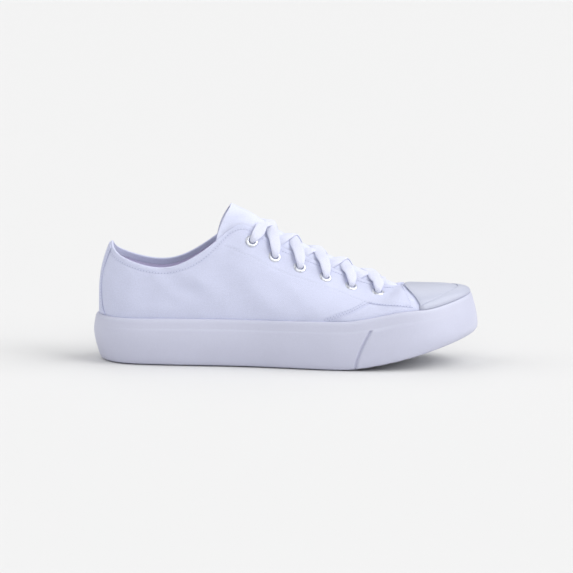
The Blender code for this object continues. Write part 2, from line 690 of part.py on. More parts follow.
def tongue_ridge():
    """The tongue's ridge read by station: along, middle and height."""
    rows = [(from_heel(row.along), top_middle(row.station), row.height) for row in TONGUE_ROWS]
    return smooth_curve([row.station for row in TONGUE_ROWS], rows)


def tongue_arch(station, peak, depth, shares):
    """The tongue's open face on one side, from the throat edge at share 0 to the ridge at 1."""
    edge = canvas(station, 1.0, -(CANVAS + TONGUE_GAP + depth))
    peak = peak - np.array([0, 0, depth])
    leave = canvas_point(station, 1.0) - canvas_point(station, 0.97)
    leave = leave / np.linalg.norm(leave)
    reach = np.linalg.norm(peak - edge)
    flat = np.array([0.0, math.copysign(1, edge[1] - peak[1]), 0.0])
    second = edge + leave * reach * TONGUE_ROUND
    third = peak + flat * reach * TONGUE_ROUND
    t = shares[:, None]
    return edge * (1 - t) ** 3 + 3 * second * t * (1 - t) ** 2 + 3 * third * t**2 * (1 - t) + peak * t**3


def tongue_section(station, peak, depth, shares):
    """One crossing of the tongue: up inside the lateral eyestay, over the ridge and down the medial one."""
    halves = []
    for side in (station, ROUND - station):
        low = height_from_end(side, TONGUE_UNDER)
        under = canvas(np.full(2, side), np.array([low, (1 + low) / 2]), -(CANVAS + TONGUE_GAP + depth))
        halves.append(np.concatenate([under, tongue_arch(side, peak, depth, shares)]))
    lateral, medial = halves
    return np.concatenate([lateral, medial[::-1][1:]])


def under_vamp(station, depth, count):
    """A crossing of the tongue's front end, all of it under the vamp."""
    points = []
    for side in (station, ROUND - station):
        low = height_from_end(side, 1.6 * TONGUE_UNDER)
        heights = np.linspace(low, 1, count)
        points.append(canvas(np.full(count, side), heights, -(CANVAS + TONGUE_GAP + depth)))
    middle = (points[0][-1] + points[1][-1]) / 2
    return np.concatenate([points[0][:-1], [middle], points[1][::-1][1:]])


def tongue():
    """The tongue, sewn under the vamp and free at its upper end."""
    shares = np.array([0.0, 0.3, 0.65, 1.0])
    ridge = tongue_ridge()
    stations = np.array([6.6, 7.25, 8.0, 8.75, 9.5, 10.25, 11.0, 11.75, 12.5, 13.25, 13.9, 14.4, 14.8])
    grids = []
    for depth in (0.0, TONGUE):
        front = [under_vamp(s, depth, 6) for s in (TONGUE_FRONT, 5.9)]
        grids.append(np.stack(front + [tongue_section(s, ridge(s), depth, shares) for s in stations]))
    return sheet_solid("tongue", grids[0], grids[1], False, "canvas")


def eyelet_inset(station):
    """How far the eyelets lie from the throat edge, a little further towards the toe."""
    folded = min(station % ROUND, -station % ROUND)
    share = (EYESTAY_END - folded) / (EYESTAY_END - THROAT_END)
    return EYELET_INSET + EYELET_SPREAD * min(max(share, 0), 1)


def eyelet_places():
    """Each eyelet's place on the canvas, the way it faces, its name and its station."""
    fine = np.linspace(THROAT_END + 0.5, EYESTAY_END, 120)
    found = []
    for side, word in ((1, "lateral"), (-1, "medial")):
        heights = [height_from_end(s if side > 0 else ROUND - s, eyelet_inset(s)) for s in fine]
        stations = fine if side > 0 else ROUND - fine
        path = canvas_point(stations, np.array(heights))
        lengths = np.concatenate([[0.0], np.cumsum(np.linalg.norm(np.diff(path, axis=0), axis=1))])
        for i in range(EYELETS):
            distance = FIRST_EYELET + (EYELETS - 1 - i) * EYELET_PITCH
            station = float(np.interp(distance, lengths, stations))
            height = height_from_end(station, eyelet_inset(station))
            facing = canvas_normal(station, height)
            found.append((canvas_point(station, height), facing, f"eyelet_{i + 1}_{word}", station))
    return found


def turned_to(thing, place, facing):
    """Puts a turned piece at its place, with its axis along the way it faces."""
    up = np.array([0.0, 0.0, 1.0])
    side = np.cross(up, facing)
    side = side / np.linalg.norm(side)
    ahead = np.cross(facing, side)
    for vert in thing.data.vertices:
        x, y, z = vert.co
        vert.co = tuple(place + side * x + ahead * y + facing * z)


def ring(name, profile, sides, colour):
    """A turned ring about +Z from its closed section, as radius and height."""
    points, index = [], []
    for k in range(sides):
        angle = 2 * math.pi * k / sides
        index.append([k * len(profile) + j for j in range(len(profile))] + [k * len(profile)])
        points += [(r * math.cos(angle), r * math.sin(angle), z) for r, z in profile]
    return make_object(name, points, grid_faces(np.array(index), True), colour)


def eyelet_cutter(place, facing):
    work = bmesh.new()
    hole = EYELET_BARREL + GAP
    bmesh.ops.create_cone(work, cap_ends=True, segments=EYELET_SIDES, radius1=hole, radius2=hole, depth=5 * CANVAS)
    mesh = bpy.data.meshes.new("hole")
    work.to_mesh(mesh)
    work.free()
    cutter = bpy.data.objects.new("hole", mesh)
    PARTS.objects.link(cutter)
    turned_to(cutter, place, facing)
    return cutter


def eyelets():
    """Rolled rings: a domed flange on the canvas and a barrel into its hole."""
    seat = EYELET_SEAT
    profile = (
        (EYELET_BORE, -0.8 * CANVAS),
        (EYELET_BARREL, -0.8 * CANVAS),
        (EYELET_BARREL, seat),
        (EYELET_FLANGE, seat),
        (0.93 * EYELET_FLANGE, seat + 0.7 * EYELET_RISE),
        (0.68 * EYELET_FLANGE, seat + EYELET_RISE),
        (EYELET_BORE, seat + 0.35 * EYELET_RISE),
    )
    for place, facing, name, _ in eyelet_places():
        made = ring(name, profile, EYELET_SIDES, "metal")
        turned_to(made, place, facing)


def over_eyestay(station):
    """The strap's line on one side, from over the eyelet to over the throat edge: points and the way each faces."""
    height = height_from_end(station, eyelet_inset(station))
    heights = np.array([height, (height + 1) / 2, 1.0])
    over_flange = EYELET_SEAT + EYELET_RISE + LACE_OVER_EYELET + LACE / 2
    lifts = np.array([over_flange, over_flange, LACE_GAP + LACE / 2])
    facings = canvas_normal(station, heights)
    return list(zip(canvas_point(station, heights) + facings * lifts[:, None], facings))


def over_tongue(station, peak, share, lift):
    """A point of the strap's line over the tongue, with the way it faces."""
    near = tongue_arch(station, peak, 0.0, np.array([share - 0.02, share]))
    along = near[1] - near[0]
    side = math.copysign(1, near[1][1] - peak[1])
    facing = np.array([0.0, -side * along[2], side * along[1]])
    facing = -facing / np.linalg.norm(facing)
    return near[1] + facing * (lift + LACE / 2), facing


def lace_path(start, end, both_over):
    """A strap's line from one eyelet, over the tongue, to the throat edge by the next eyelet across."""
    ridge = tongue_ridge()
    first = start if start < ROWS else ROUND - start
    last = end if end < ROWS else ROUND - end

    def rest(side, blend, row):
        station = first * (1 - blend) + last * blend
        beside = station if side < ROWS else ROUND - station
        return over_tongue(beside, ridge(station), row.share, LACE_GAP + row.lift)

    peak = ridge((first + last) / 2) + np.array([0, 0, LACE_TOP + LACE_GAP + LACE / 2])
    line = over_eyestay(start)
    line += [rest(start, row.share / 2, row) for row in LACE_NEAR]
    line.append((peak, np.array([0.0, 0.0, 1.0])))
    line += [rest(end, 1 - row.share / 2, row) for row in (LACE_NEAR[::-1] if both_over else LACE_FAR)]
    if both_over:
        line += over_eyestay(end)[::-1]
    return line


def strap(name, line):
    """A flat strap along its line of points and facings."""
    points = np.array([point for point, _ in line])
    facings = np.array([facing for _, facing in line])
    ahead = np.gradient(points, axis=0)
    side = np.cross(facings, ahead)
    side = side / np.linalg.norm(side, axis=1, keepdims=True)
    up = np.cross(ahead, side)
    up = up / np.linalg.norm(up, axis=1, keepdims=True)
    section = ((-1, -0.6), (-0.8, -1), (0.8, -1), (1, -0.6), (1, 0.6), (0.8, 1), (-0.8, 1), (-1, 0.6))
    corners = []
    for place, across, above in zip(points, side, up):
        corners += [place + across * a * LACE_WIDTH / 2 + above * b * LACE / 2 for a, b in section]
    rows = len(section)
    index = np.array([[k * rows + j % rows for j in range(rows + 1)] for k in range(len(points))])
    faces = grid_faces(index, False)
    faces += [list(range(rows)), [len(corners) - rows + j for j in reversed(range(rows))]]
    return make_object(name, corners, faces, "cotton")


def laces():
    """The front bar, then five crossings over the tongue, each of two straps joined where they cross."""
    places = {name: station for _, _, name, station in eyelet_places()}
    ridge = tongue_ridge()
    front = places[f"eyelet_{EYELETS}_lateral"]
    peak = ridge(front) + np.array([0, 0, LACE_GAP + LACE / 2])
    one = [over_tongue(front, ridge(front), row.share, LACE_GAP) for row in LACE_FAR]
    other = [over_tongue(ROUND - front, ridge(front), row.share, LACE_GAP) for row in LACE_FAR]
    strap("lace_bar", one[::-1] + [(peak, np.array([0.0, 0.0, 1.0]))] + other)
    for i in range(EYELETS, 1, -1):
        made = []
        for one, other in (("lateral", "medial"), ("medial", "lateral")):
            line = lace_path(places[f"eyelet_{i}_{one}"], places[f"eyelet_{i - 1}_{other}"], i == 2)
            made.append(strap(f"strap_{one}", line))
        made[0].name = f"lace_crossing_{i - 1}"
        join_shapes(made[0], [made[1]], "UNION")
        finish(made[0], "cotton")


def make_materials():
    roughness = {"canvas": 0.9, "rubber": 0.55, "metal": 0.25, "cotton": 0.9, "lining": 0.95}
    made = {}
    for name, colour in COLOURS.items():
        material = bpy.data.materials.new(name)
        material.use_nodes = True
        shader = material.node_tree.nodes["Principled BSDF"]
        shader.inputs["Base Color"].default_value = colour
        shader.inputs["Roughness"].default_value = roughness[name]
        shader.inputs["Metallic"].default_value = 1.0 if name == "metal" else 0.0
        material.diffuse_color = colour
        made[name] = material
    return made


for old in list(bpy.data.objects):
    bpy.data.objects.remove(old)
PARTS = bpy.data.collections.new("canvas_sneaker")
bpy.context.scene.collection.children.link(PARTS)
MATERIALS = make_materials()

outsole()
foxing()
insole()
upper()
toe_cap()
toe_bumper()
heel_strip()
tongue()
eyelets()
laces()
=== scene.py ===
"""A pale canvas sneaker, right shoe: its cloth, rubber, thread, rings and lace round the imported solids."""

import math
from collections import namedtuple

import bpy
import numpy as np
from mathutils import Matrix


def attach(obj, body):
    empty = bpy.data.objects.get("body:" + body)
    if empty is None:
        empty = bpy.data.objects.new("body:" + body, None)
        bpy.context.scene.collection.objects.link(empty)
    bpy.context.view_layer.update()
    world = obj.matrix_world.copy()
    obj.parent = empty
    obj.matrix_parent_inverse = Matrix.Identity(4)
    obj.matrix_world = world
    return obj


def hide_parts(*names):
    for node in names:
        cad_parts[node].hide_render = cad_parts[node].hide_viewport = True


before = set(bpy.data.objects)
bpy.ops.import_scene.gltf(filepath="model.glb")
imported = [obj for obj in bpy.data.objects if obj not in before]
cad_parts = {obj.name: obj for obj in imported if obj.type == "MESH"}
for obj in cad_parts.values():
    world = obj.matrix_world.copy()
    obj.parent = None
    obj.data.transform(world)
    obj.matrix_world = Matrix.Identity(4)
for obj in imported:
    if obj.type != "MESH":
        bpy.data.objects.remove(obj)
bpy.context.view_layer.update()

# The shoe's own sizes, tables and curves, which the finished pieces are laid on

# Main sizes of the last and the shoe, in metres
LENGTH = 0.295
BALL_WIDTH = 0.107
WAIST_WIDTH = 0.0765
HEEL_WIDTH = 0.0765
TOE_SPRING = 0.0245
TOE_HEIGHT = 0.0588
INSTEP_HEIGHT = 0.1058
ANKLE_HEIGHT = 0.0740
HEEL_HEIGHT = 0.0905
THROAT_WIDTH = 0.0340
COLLAR_WIDTH = 0.0606
TONGUE_HEIGHT = 0.1205

# Walls, layers and clearances
CANVAS = 0.0020
FOXING_HEIGHT = 0.0366
FOXING_WALL = 0.0024
BUMPER_WIDTH = 0.0096
BUMPER_END_WIDTH = 0.0022
INSOLE = 0.0035
INSOLE_CUP = 0.0012
PLATFORM = 0.0125
HEEL_LIFT = 0.0050
GAP = 0.0003
TONGUE_GAP = 0.0012

# The lap of the foxing's two ends: its place, its slant and its reach, in stations
LAP_STATION = 8.55
LAP_LEAN = 0.55
LAP_SPREAD = 1.6

# Eyelets and lace
EYELETS = 6
EYELET_PITCH = 0.0209
EYELET_INSET = 0.0105
EYELET_SPREAD = 0.0030
FIRST_EYELET = 0.0172
LACE = 0.0015
LACE_GAP = 0.0020

# Rows from the toe tip to the heel. along runs from 0 at the heel to 1 at the toe. lateral and medial are the
# outline's distances from the middle line. tuck is how far the foxing's foot lies in from its fullest line,
# lean how far its top edge does, and bulge the share of its height where it is fullest.
Sole = namedtuple("Sole", "along lateral medial foxing tuck lean bulge lift")
SOLE_ROWS = (
    Sole(1.000, -0.065 * BALL_WIDTH, 0.065 * BALL_WIDTH, 0.81, 0.0018, 0.0055, 0.12, 0.0),
    Sole(0.987, 0.089 * BALL_WIDTH, 0.210 * BALL_WIDTH, 0.82, 0.0018, 0.0053, 0.13, 0.0),
    Sole(0.958, 0.210 * BALL_WIDTH, 0.313 * BALL_WIDTH, 0.84, 0.0020, 0.0048, 0.17, 0.0),
    Sole(0.915, 0.322 * BALL_WIDTH, 0.393 * BALL_WIDTH, 0.87, 0.0023, 0.0040, 0.23, 0.0),
    Sole(0.873, 0.397 * BALL_WIDTH, 0.444 * BALL_WIDTH, 0.91, 0.0026, 0.0031, 0.30, 0.0),
    Sole(0.836, 0.442 * BALL_WIDTH, 0.470 * BALL_WIDTH, 0.97, 0.0026, 0.0024, 0.36, 0.0),
    Sole(0.792, 0.476 * BALL_WIDTH, 0.488 * BALL_WIDTH, 1.03, 0.0026, 0.0018, 0.42, 0.0),
    Sole(0.758, 0.492 * BALL_WIDTH, 0.493 * BALL_WIDTH, 1.04, 0.0026, 0.0015, 0.46, 0.0),
    Sole(0.724, 0.500 * BALL_WIDTH, 0.491 * BALL_WIDTH, 1.04, 0.0026, 0.0013, 0.50, 0.0),
    Sole(0.669, 0.502 * BALL_WIDTH, 0.477 * BALL_WIDTH, 1.03, 0.0026, 0.0012, 0.52, 0.0),
    Sole(0.602, 0.486 * BALL_WIDTH, 0.435 * BALL_WIDTH, 1.02, 0.0026, 0.0012, 0.52, 0.1),
    Sole(0.527, 0.625 * WAIST_WIDTH, 0.523 * WAIST_WIDTH, 1.01, 0.0026, 0.0012, 0.52, 0.3),
    Sole(0.453, 0.569 * WAIST_WIDTH, 0.458 * WAIST_WIDTH, 1.00, 0.0027, 0.0012, 0.52, 0.5),
    Sole(0.388, 0.533 * WAIST_WIDTH, 0.431 * WAIST_WIDTH, 1.00, 0.0029, 0.0012, 0.53, 0.7),
    Sole(0.341, 0.520 * WAIST_WIDTH, 0.430 * WAIST_WIDTH, 1.00, 0.0031, 0.0013, 0.54, 0.8),
    Sole(0.290, 0.514 * WAIST_WIDTH, 0.442 * WAIST_WIDTH, 1.00, 0.0034, 0.0014, 0.56, 0.9),
    Sole(0.222, 0.510 * HEEL_WIDTH, 0.468 * HEEL_WIDTH, 1.00, 0.0038, 0.0015, 0.58, 1.0),
    Sole(0.154, 0.497 * HEEL_WIDTH, 0.478 * HEEL_WIDTH, 0.99, 0.0044, 0.0016, 0.60, 1.0),
    Sole(0.093, 0.462 * HEEL_WIDTH, 0.458 * HEEL_WIDTH, 0.98, 0.0046, 0.0018, 0.62, 1.0),
    Sole(0.046, 0.370 * HEEL_WIDTH, 0.370 * HEEL_WIDTH, 0.98, 0.0052, 0.0019, 0.63, 1.0),
    Sole(0.0136, 0.205 * HEEL_WIDTH, 0.206 * HEEL_WIDTH, 0.98, 0.0056, 0.0020, 0.64, 1.0),
    Sole(0.000, 0.0, 0.0, 0.98, 0.0058, 0.0020, 0.64, 1.0),
)

# The ribs' upper ends, a row for each row above: the ridge of the toe box, the throat edge, then the collar.
# middle and half place the end across the shoe. rise and turn aim the rib there, in degrees. swell is how far
# it leans out above the foxing. low and high are its two handles, as shares of the distance between its ends.
Top = namedtuple("Top", "along middle half height rise turn swell low high")
TOP_ROWS = (
    Top(0.8915, 0.0052, 0.0, 0.995 * TOE_HEIGHT, 0, 90, 2, 0.18, 0.52),
    Top(0.8875, 0.0051, 0.0, 0.997 * TOE_HEIGHT, 0, 62, 2, 0.19, 0.51),
    Top(0.8745, 0.0049, 0.0, 0.999 * TOE_HEIGHT, 0, 40, 2, 0.20, 0.50),
    Top(0.8540, 0.0045, 0.0, 1.000 * TOE_HEIGHT, 0, 22, 3, 0.21, 0.49),
    Top(0.8305, 0.0040, 0.0, 1.000 * TOE_HEIGHT, 0, 9, 3, 0.22, 0.48),
    Top(0.8068, 0.0035, 0.0, 1.002 * TOE_HEIGHT, 0, 0, 3, 0.23, 0.47),
    Top(0.7915, 0.0033, 0.0, 1.006 * TOE_HEIGHT, 0, 0, 3, 0.24, 0.46),
    Top(0.7820, 0.0031, 0.20 * THROAT_WIDTH, 1.009 * TOE_HEIGHT, 12, 0, 3, 0.24, 0.45),
    Top(0.7593, 0.0029, 0.29 * THROAT_WIDTH, 1.016 * TOE_HEIGHT, 22, 0, 4, 0.24, 0.44),
    Top(0.7000, 0.0024, 0.35 * THROAT_WIDTH, 0.606 * INSTEP_HEIGHT, 31, 0, 4, 0.25, 0.43),
    Top(0.6254, 0.0018, 0.40 * THROAT_WIDTH, 0.682 * INSTEP_HEIGHT, 38, 0, 5, 0.25, 0.42),
    Top(0.5440, 0.0012, 0.44 * THROAT_WIDTH, 0.777 * INSTEP_HEIGHT, 44, 0, 6, 0.26, 0.41),
    Top(0.4627, 0.0006, 0.47 * THROAT_WIDTH, 0.878 * INSTEP_HEIGHT, 50, 0, 7, 0.27, 0.40),
    Top(0.3881, 0.0002, 0.50 * THROAT_WIDTH, 1.000 * INSTEP_HEIGHT, 56, 0, 8, 0.28, 0.38),
    Top(0.3475, 0.0, 0.335 * COLLAR_WIDTH, 0.958 * INSTEP_HEIGHT, 62, -3, 8, 0.29, 0.37),
    Top(0.3153, 0.0, 0.415 * COLLAR_WIDTH, 0.885 * INSTEP_HEIGHT, 67, -6, 9, 0.30, 0.36),
    Top(0.2560, 0.0, 0.485 * COLLAR_WIDTH, 1.098 * ANKLE_HEIGHT, 72, -10, 9, 0.31, 0.36),
    Top(0.1880, 0.0, 0.500 * COLLAR_WIDTH, 1.000 * ANKLE_HEIGHT, 74, -16, 10, 0.32, 0.37),
    Top(0.1203, 0.0, 0.450 * COLLAR_WIDTH, 0.840 * HEEL_HEIGHT, 74, -32, 7, 0.34, 0.40),
    Top(0.0729, 0.0, 0.343 * COLLAR_WIDTH, 0.896 * HEEL_HEIGHT, 72, -55, 3, 0.36, 0.42),
    Top(0.0492, 0.0, 0.178 * COLLAR_WIDTH, 0.954 * HEEL_HEIGHT, 69, -75, 0, 0.36, 0.44),
    Top(0.0434, 0.0, 0.0, 1.000 * HEEL_HEIGHT, 67, -90, -1, 0.36, 0.45),
)

# The tongue's ridge, from under the vamp to its free end, with the station whose ribs it joins
Ridge = namedtuple("Ridge", "station along height")
TONGUE_ROWS = (
    Ridge(6.6, 0.7870, 0.985 * TOE_HEIGHT),
    Ridge(8.0, 0.7610, 1.030 * TOE_HEIGHT),
    Ridge(9.0, 0.7034, 0.640 * INSTEP_HEIGHT),
    Ridge(10.0, 0.6305, 0.727 * INSTEP_HEIGHT),
    Ridge(11.0, 0.5520, 0.822 * INSTEP_HEIGHT),
    Ridge(12.0, 0.4750, 0.938 * INSTEP_HEIGHT),
    Ridge(13.0, 0.4160, 0.917 * TONGUE_HEIGHT),
    Ridge(14.0, 0.3830, 0.962 * TONGUE_HEIGHT),
    Ridge(14.8, 0.3560, 1.000 * TONGUE_HEIGHT),
)
TONGUE_UNDER = 0.012
TONGUE_FRONT = 5.3
TONGUE_ROUND = 0.48

ROWS = len(SOLE_ROWS) - 1
ROUND = 2 * ROWS
THROAT_END = 6
EYESTAY_END = 14
CAP_EDGE = 5
BUMPER_END = 5.35
SPRING_START = 0.65
SPRING_POWER = 1.38
RIB_POINTS = 41

# Curves through the rows


def unit(vectors):
    """Vectors drawn to a length of one."""
    return vectors / np.linalg.norm(vectors, axis=-1, keepdims=True)


def lengths_along(points):
    """The length along a line of points, up to each of them."""
    return np.concatenate([[0.0], np.cumsum(np.linalg.norm(np.diff(points, axis=0), axis=1))])


def bend(start, second, third, end, share):
    """A smooth bend from start to end. It leaves towards the second point and arrives from the third."""
    rest = 1 - share
    return start * rest**3 + 3 * second * share * rest**2 + 3 * third * share**2 * rest + end * share**3


def smooth_curve(knots, values):
    """A smooth curve through the values at the knots, as a function of the place along the knots."""
    knots = np.asarray(knots, float)
    values = np.asarray(values, float)
    steps = np.diff(knots)
    last = len(knots) - 1
    matrix = np.eye(last + 1)
    pull = np.zeros_like(values)
    for i in range(1, last):
        matrix[i, i - 1 : i + 2] = steps[i - 1], 2 * (steps[i - 1] + steps[i]), steps[i]
        slope_after = (values[i + 1] - values[i]) / steps[i]
        slope_before = (values[i] - values[i - 1]) / steps[i - 1]
        pull[i] = 6 * (slope_after - slope_before)
    bends = np.linalg.solve(matrix, pull)

    def read(place):
        place = np.asarray(place, float)
        i = np.clip(np.searchsorted(knots, place, side="right") - 1, 0, last - 1)
        step = steps[i][..., None]
        after = ((place - knots[i]) / steps[i])[..., None]
        before = 1 - after
        curved = (before**3 - before) * bends[i] + (after**3 - after) * bends[i + 1]
        return before * values[i] + after * values[i + 1] + curved * step * step / 6

    return read


def both_sides(lateral, medial):
    """Rows for every whole station round the shoe, from the rows of its two sides."""
    return np.array(list(lateral) + list(reversed(medial))[1:-1], float)


def round_the_shoe(rows):
    """A closed smooth curve through one row for each station, read by station."""
    wrap = 5
    order = np.arange(-wrap, ROUND + wrap + 1)
    curve = smooth_curve(distance_round(order), rows[order % ROUND])
    return lambda station: curve(distance_round(np.asarray(station, float)))


def from_heel(along):
    return (np.asarray(along, float) - 0.5) * LENGTH


def from_toe(station):
    """The stations between a place and the toe tip, the shorter way round."""
    return np.minimum(station % ROUND, -station % ROUND)


def mirrored(station, side):
    """The same place on the lateral side, for a side of 1, or on the medial side, for -1."""
    return station if side > 0 else ROUND - station


OUTLINE_ROWS = both_sides(
    [(from_heel(row.along), -row.lateral) for row in SOLE_ROWS],
    [(from_heel(row.along), row.medial) for row in SOLE_ROWS],
)
STEPS_ROUND = np.linalg.norm(np.roll(OUTLINE_ROWS, -1, axis=0) - OUTLINE_ROWS, axis=1)


def distance_round(station):
    """The distance round the outline at a station, which may lie before 0 or past the last one."""
    ends = np.concatenate([[0.0], np.cumsum(STEPS_ROUND)])
    turns = np.floor(np.asarray(station, float) / ROUND)
    return turns * ends[-1] + np.interp(station - turns * ROUND, np.arange(ROUND + 1), ends)


OUTLINE = round_the_shoe(OUTLINE_ROWS)
SIDE_ROWS = [(FOXING_HEIGHT * row.foxing, row.tuck, row.lean, row.bulge, row.lift) for row in SOLE_ROWS]
SIDE = round_the_shoe(both_sides(SIDE_ROWS, SIDE_ROWS))


def aim(turn, side):
    """The direction across the shoe in which a rib arrives, seen from above."""
    return -math.sin(math.radians(turn)), side * math.cos(math.radians(turn))


def shape_rows(side):
    rows = []
    for row in TOP_ROWS:
        rise, swell = math.radians(row.rise), math.radians(row.swell)
        rows.append((*aim(row.turn, side), rise, swell, row.low, row.high))
    return rows


SHAPE = round_the_shoe(both_sides(shape_rows(1), shape_rows(-1)))


def end_rows(side):
    return [(from_heel(row.along), row.middle + side * row.half, row.height) for row in TOP_ROWS]


END_ROWS = both_sides(end_rows(-1), end_rows(1))


def part_curve(first, last):
    order = np.arange(first, last + 1)
    return smooth_curve(distance_round(order), END_ROWS[order % ROUND])


RIDGE_CURVE = part_curve(-THROAT_END, THROAT_END)
EDGE_CURVE = part_curve(THROAT_END, ROUND - THROAT_END)


def top_end(station):
    """Where a rib ends: on the ridge over the toes, or on the edge of the throat and collar."""
    station = np.asarray(station, float) % ROUND
    near_toe = (station < THROAT_END) | (station > ROUND - THROAT_END)
    signed = np.where(station > ROWS, station - ROUND, station)
    ridge = RIDGE_CURVE(distance_round(signed))
    edge = EDGE_CURVE(distance_round(station))
    return np.where(near_toe[..., None], ridge, edge)


# The surfaces that every piece is cut from


def spring(x):
    """How far the sole lifts off the ground towards the toe."""
    start = from_heel(SPRING_START)
    share = np.clip((np.asarray(x, float) - start) / (LENGTH / 2 - start), 0, None)
    return TOE_SPRING * share**SPRING_POWER


def outline_normal(station):
    """The outline's outward direction, seen from above."""
    along = OUTLINE(station + 0.02) - OUTLINE(station - 0.02)
    normal = np.stack([along[..., 1], -along[..., 0]], axis=-1)
    return -unit(normal)


def inset_point(station, inset):
    """A point of the outline moved in by the inset, seen from above."""
    return OUTLINE(station) - outline_normal(station) * np.asarray(inset, float)[..., None]


def floor_height(x, lift):
    """The top of the platform under the insole."""
    return spring(x) + PLATFORM + HEEL_LIFT * lift


def platform_height(x):
    """The top of the platform, with the heel's lift read from the lateral side's stations."""
    lateral = np.arange(0, ROWS + 0.5, 0.5)
    return floor_height(x, np.interp(x, OUTLINE(lateral)[::-1, 0], SIDE(lateral)[::-1, 4]))


def canvas_point(station, height):
    """A point of the canvas. height is -1 at the feather edge, 0 at the foxing and 1 at the upper end."""
    station, height = np.broadcast_arrays(np.asarray(station, float), np.asarray(height, float))
    foxing, _, lean, _, lift = np.moveaxis(SIDE(station), -1, 0)
    aim_x, aim_y, rise, swell, low, high = np.moveaxis(SHAPE(station), -1, 0)
    foot = inset_point(station, lean + FOXING_WALL + GAP)
    top = spring(OUTLINE(station)[..., 0]) + foxing
    start = np.concatenate([foot, top[..., None]], axis=-1)
    end = top_end(station)
    span = np.linalg.norm(end - start, axis=-1)[..., None]
    out = outline_normal(station)
    leave = np.concatenate([out * np.sin(swell)[..., None], np.cos(swell)[..., None]], axis=-1)
    across = unit(np.stack([aim_x, aim_y], axis=-1))
    arrive = np.concatenate([across * np.cos(rise)[..., None], np.sin(rise)[..., None]], axis=-1)
    second = start + leave * span * low[..., None]
    third = end - arrive * span * high[..., None]
    curve = bend(start, second, third, end, np.clip(height, 0, 1)[..., None])
    base = floor_height(foot[..., 0], lift) + GAP
    drop = np.clip(-height, 0, 1) * (top - base)
    curve[..., 2] -= drop
    return curve


def canvas_normal(station, height):
    """The canvas's outward direction."""
    station, height = np.broadcast_arrays(np.asarray(station, float), np.asarray(height, float))
    step = 0.02
    beside = np.minimum(height, 0.95)
    along = canvas_point(station + step, beside) - canvas_point(station - step, beside)
    above, below = np.minimum(height + step, 1), np.maximum(height - step, -1)
    up = canvas_point(station, above) - canvas_point(station, below)
    return unit(np.cross(up, along))


def canvas(station, height, offset):
    """A point that lies the offset outside the canvas's face, or inside it where the offset is negative."""
    return canvas_point(station, height) + canvas_normal(station, height) * offset


def rib_height(station, distance, heights):
    """The rib height at a distance along the rib, measured through the heights from the first of them."""
    lengths = lengths_along(canvas_point(float(station), heights))
    return float(np.interp(distance, lengths, heights))


def height_from_end(station, distance):
    return rib_height(station, distance, np.linspace(1, 0, RIB_POINTS))


def height_from_foxing(station, distance):
    return rib_height(station, distance, np.linspace(0, 1, RIB_POINTS))


def foxing_inset(station, share):
    """How far the foxing's face lies in from its fullest line, at a share of its height."""
    _, tuck, lean, bulge, _ = np.moveaxis(SIDE(station), -1, 0)
    below = np.clip((bulge - share) / bulge, 0, 1)
    above = np.clip((share - bulge) / (1 - bulge), 0, 1)
    return tuck * below**1.6 + lean * above**1.7


def bumper_width(station):
    """The tape's width: widest at the toe tip, narrowing to its ends."""
    share = math.cos(math.pi / 2 * min(from_toe(station) / CAP_EDGE, 1))
    return BUMPER_END_WIDTH + (BUMPER_WIDTH - BUMPER_END_WIDTH) * share


def top_middle(station):
    ends = top_end(np.array([station, ROUND - station]))
    return float(ends[:, 1].mean())


def tongue_ridge():
    """The tongue's ridge read by station: along, middle and height."""
    rows = [(from_heel(row.along), top_middle(row.station), row.height) for row in TONGUE_ROWS]
    return smooth_curve([row.station for row in TONGUE_ROWS], rows)


def tongue_arch(station, peak, depth, shares):
    """The tongue's open face on one side, from the throat edge at share 0 to the ridge at 1."""
    edge = canvas(station, 1.0, -(CANVAS + TONGUE_GAP + depth))
    peak = peak - np.array([0, 0, depth])
    leave = unit(canvas_point(station, 1.0) - canvas_point(station, 0.97))
    reach = np.linalg.norm(peak - edge)
    flat = np.array([0.0, math.copysign(1, edge[1] - peak[1]), 0.0])
    second = edge + leave * reach * TONGUE_ROUND
    third = peak + flat * reach * TONGUE_ROUND
    return bend(edge, second, third, peak, shares[:, None])


def tongue_section(station, peak, depth, shares):
    """One crossing of the tongue: up inside the lateral eyestay, over the ridge and down the medial one."""
    halves = []
    for side in (station, ROUND - station):
        low = height_from_end(side, TONGUE_UNDER)
        under = canvas(np.full(2, side), np.array([low, (1 + low) / 2]), -(CANVAS + TONGUE_GAP + depth))
        halves.append(np.concatenate([under, tongue_arch(side, peak, depth, shares)]))
    lateral, medial = halves
    return np.concatenate([lateral, medial[::-1][1:]])


def under_vamp(station, depth, count):
    """A crossing of the tongue's front end, all of it under the vamp."""
    points = []
    for side in (station, ROUND - station):
        low = height_from_end(side, 1.6 * TONGUE_UNDER)
        heights = np.linspace(low, 1, count)
        points.append(canvas(np.full(count, side), heights, -(CANVAS + TONGUE_GAP + depth)))
    middle = (points[0][-1] + points[1][-1]) / 2
    return np.concatenate([points[0][:-1], [middle], points[1][::-1][1:]])


def eyelet_inset(station):
    """How far the eyelets lie from the throat edge, a little further towards the toe."""
    share = (EYESTAY_END - from_toe(station)) / (EYESTAY_END - THROAT_END)
    return EYELET_INSET + EYELET_SPREAD * min(max(share, 0), 1)


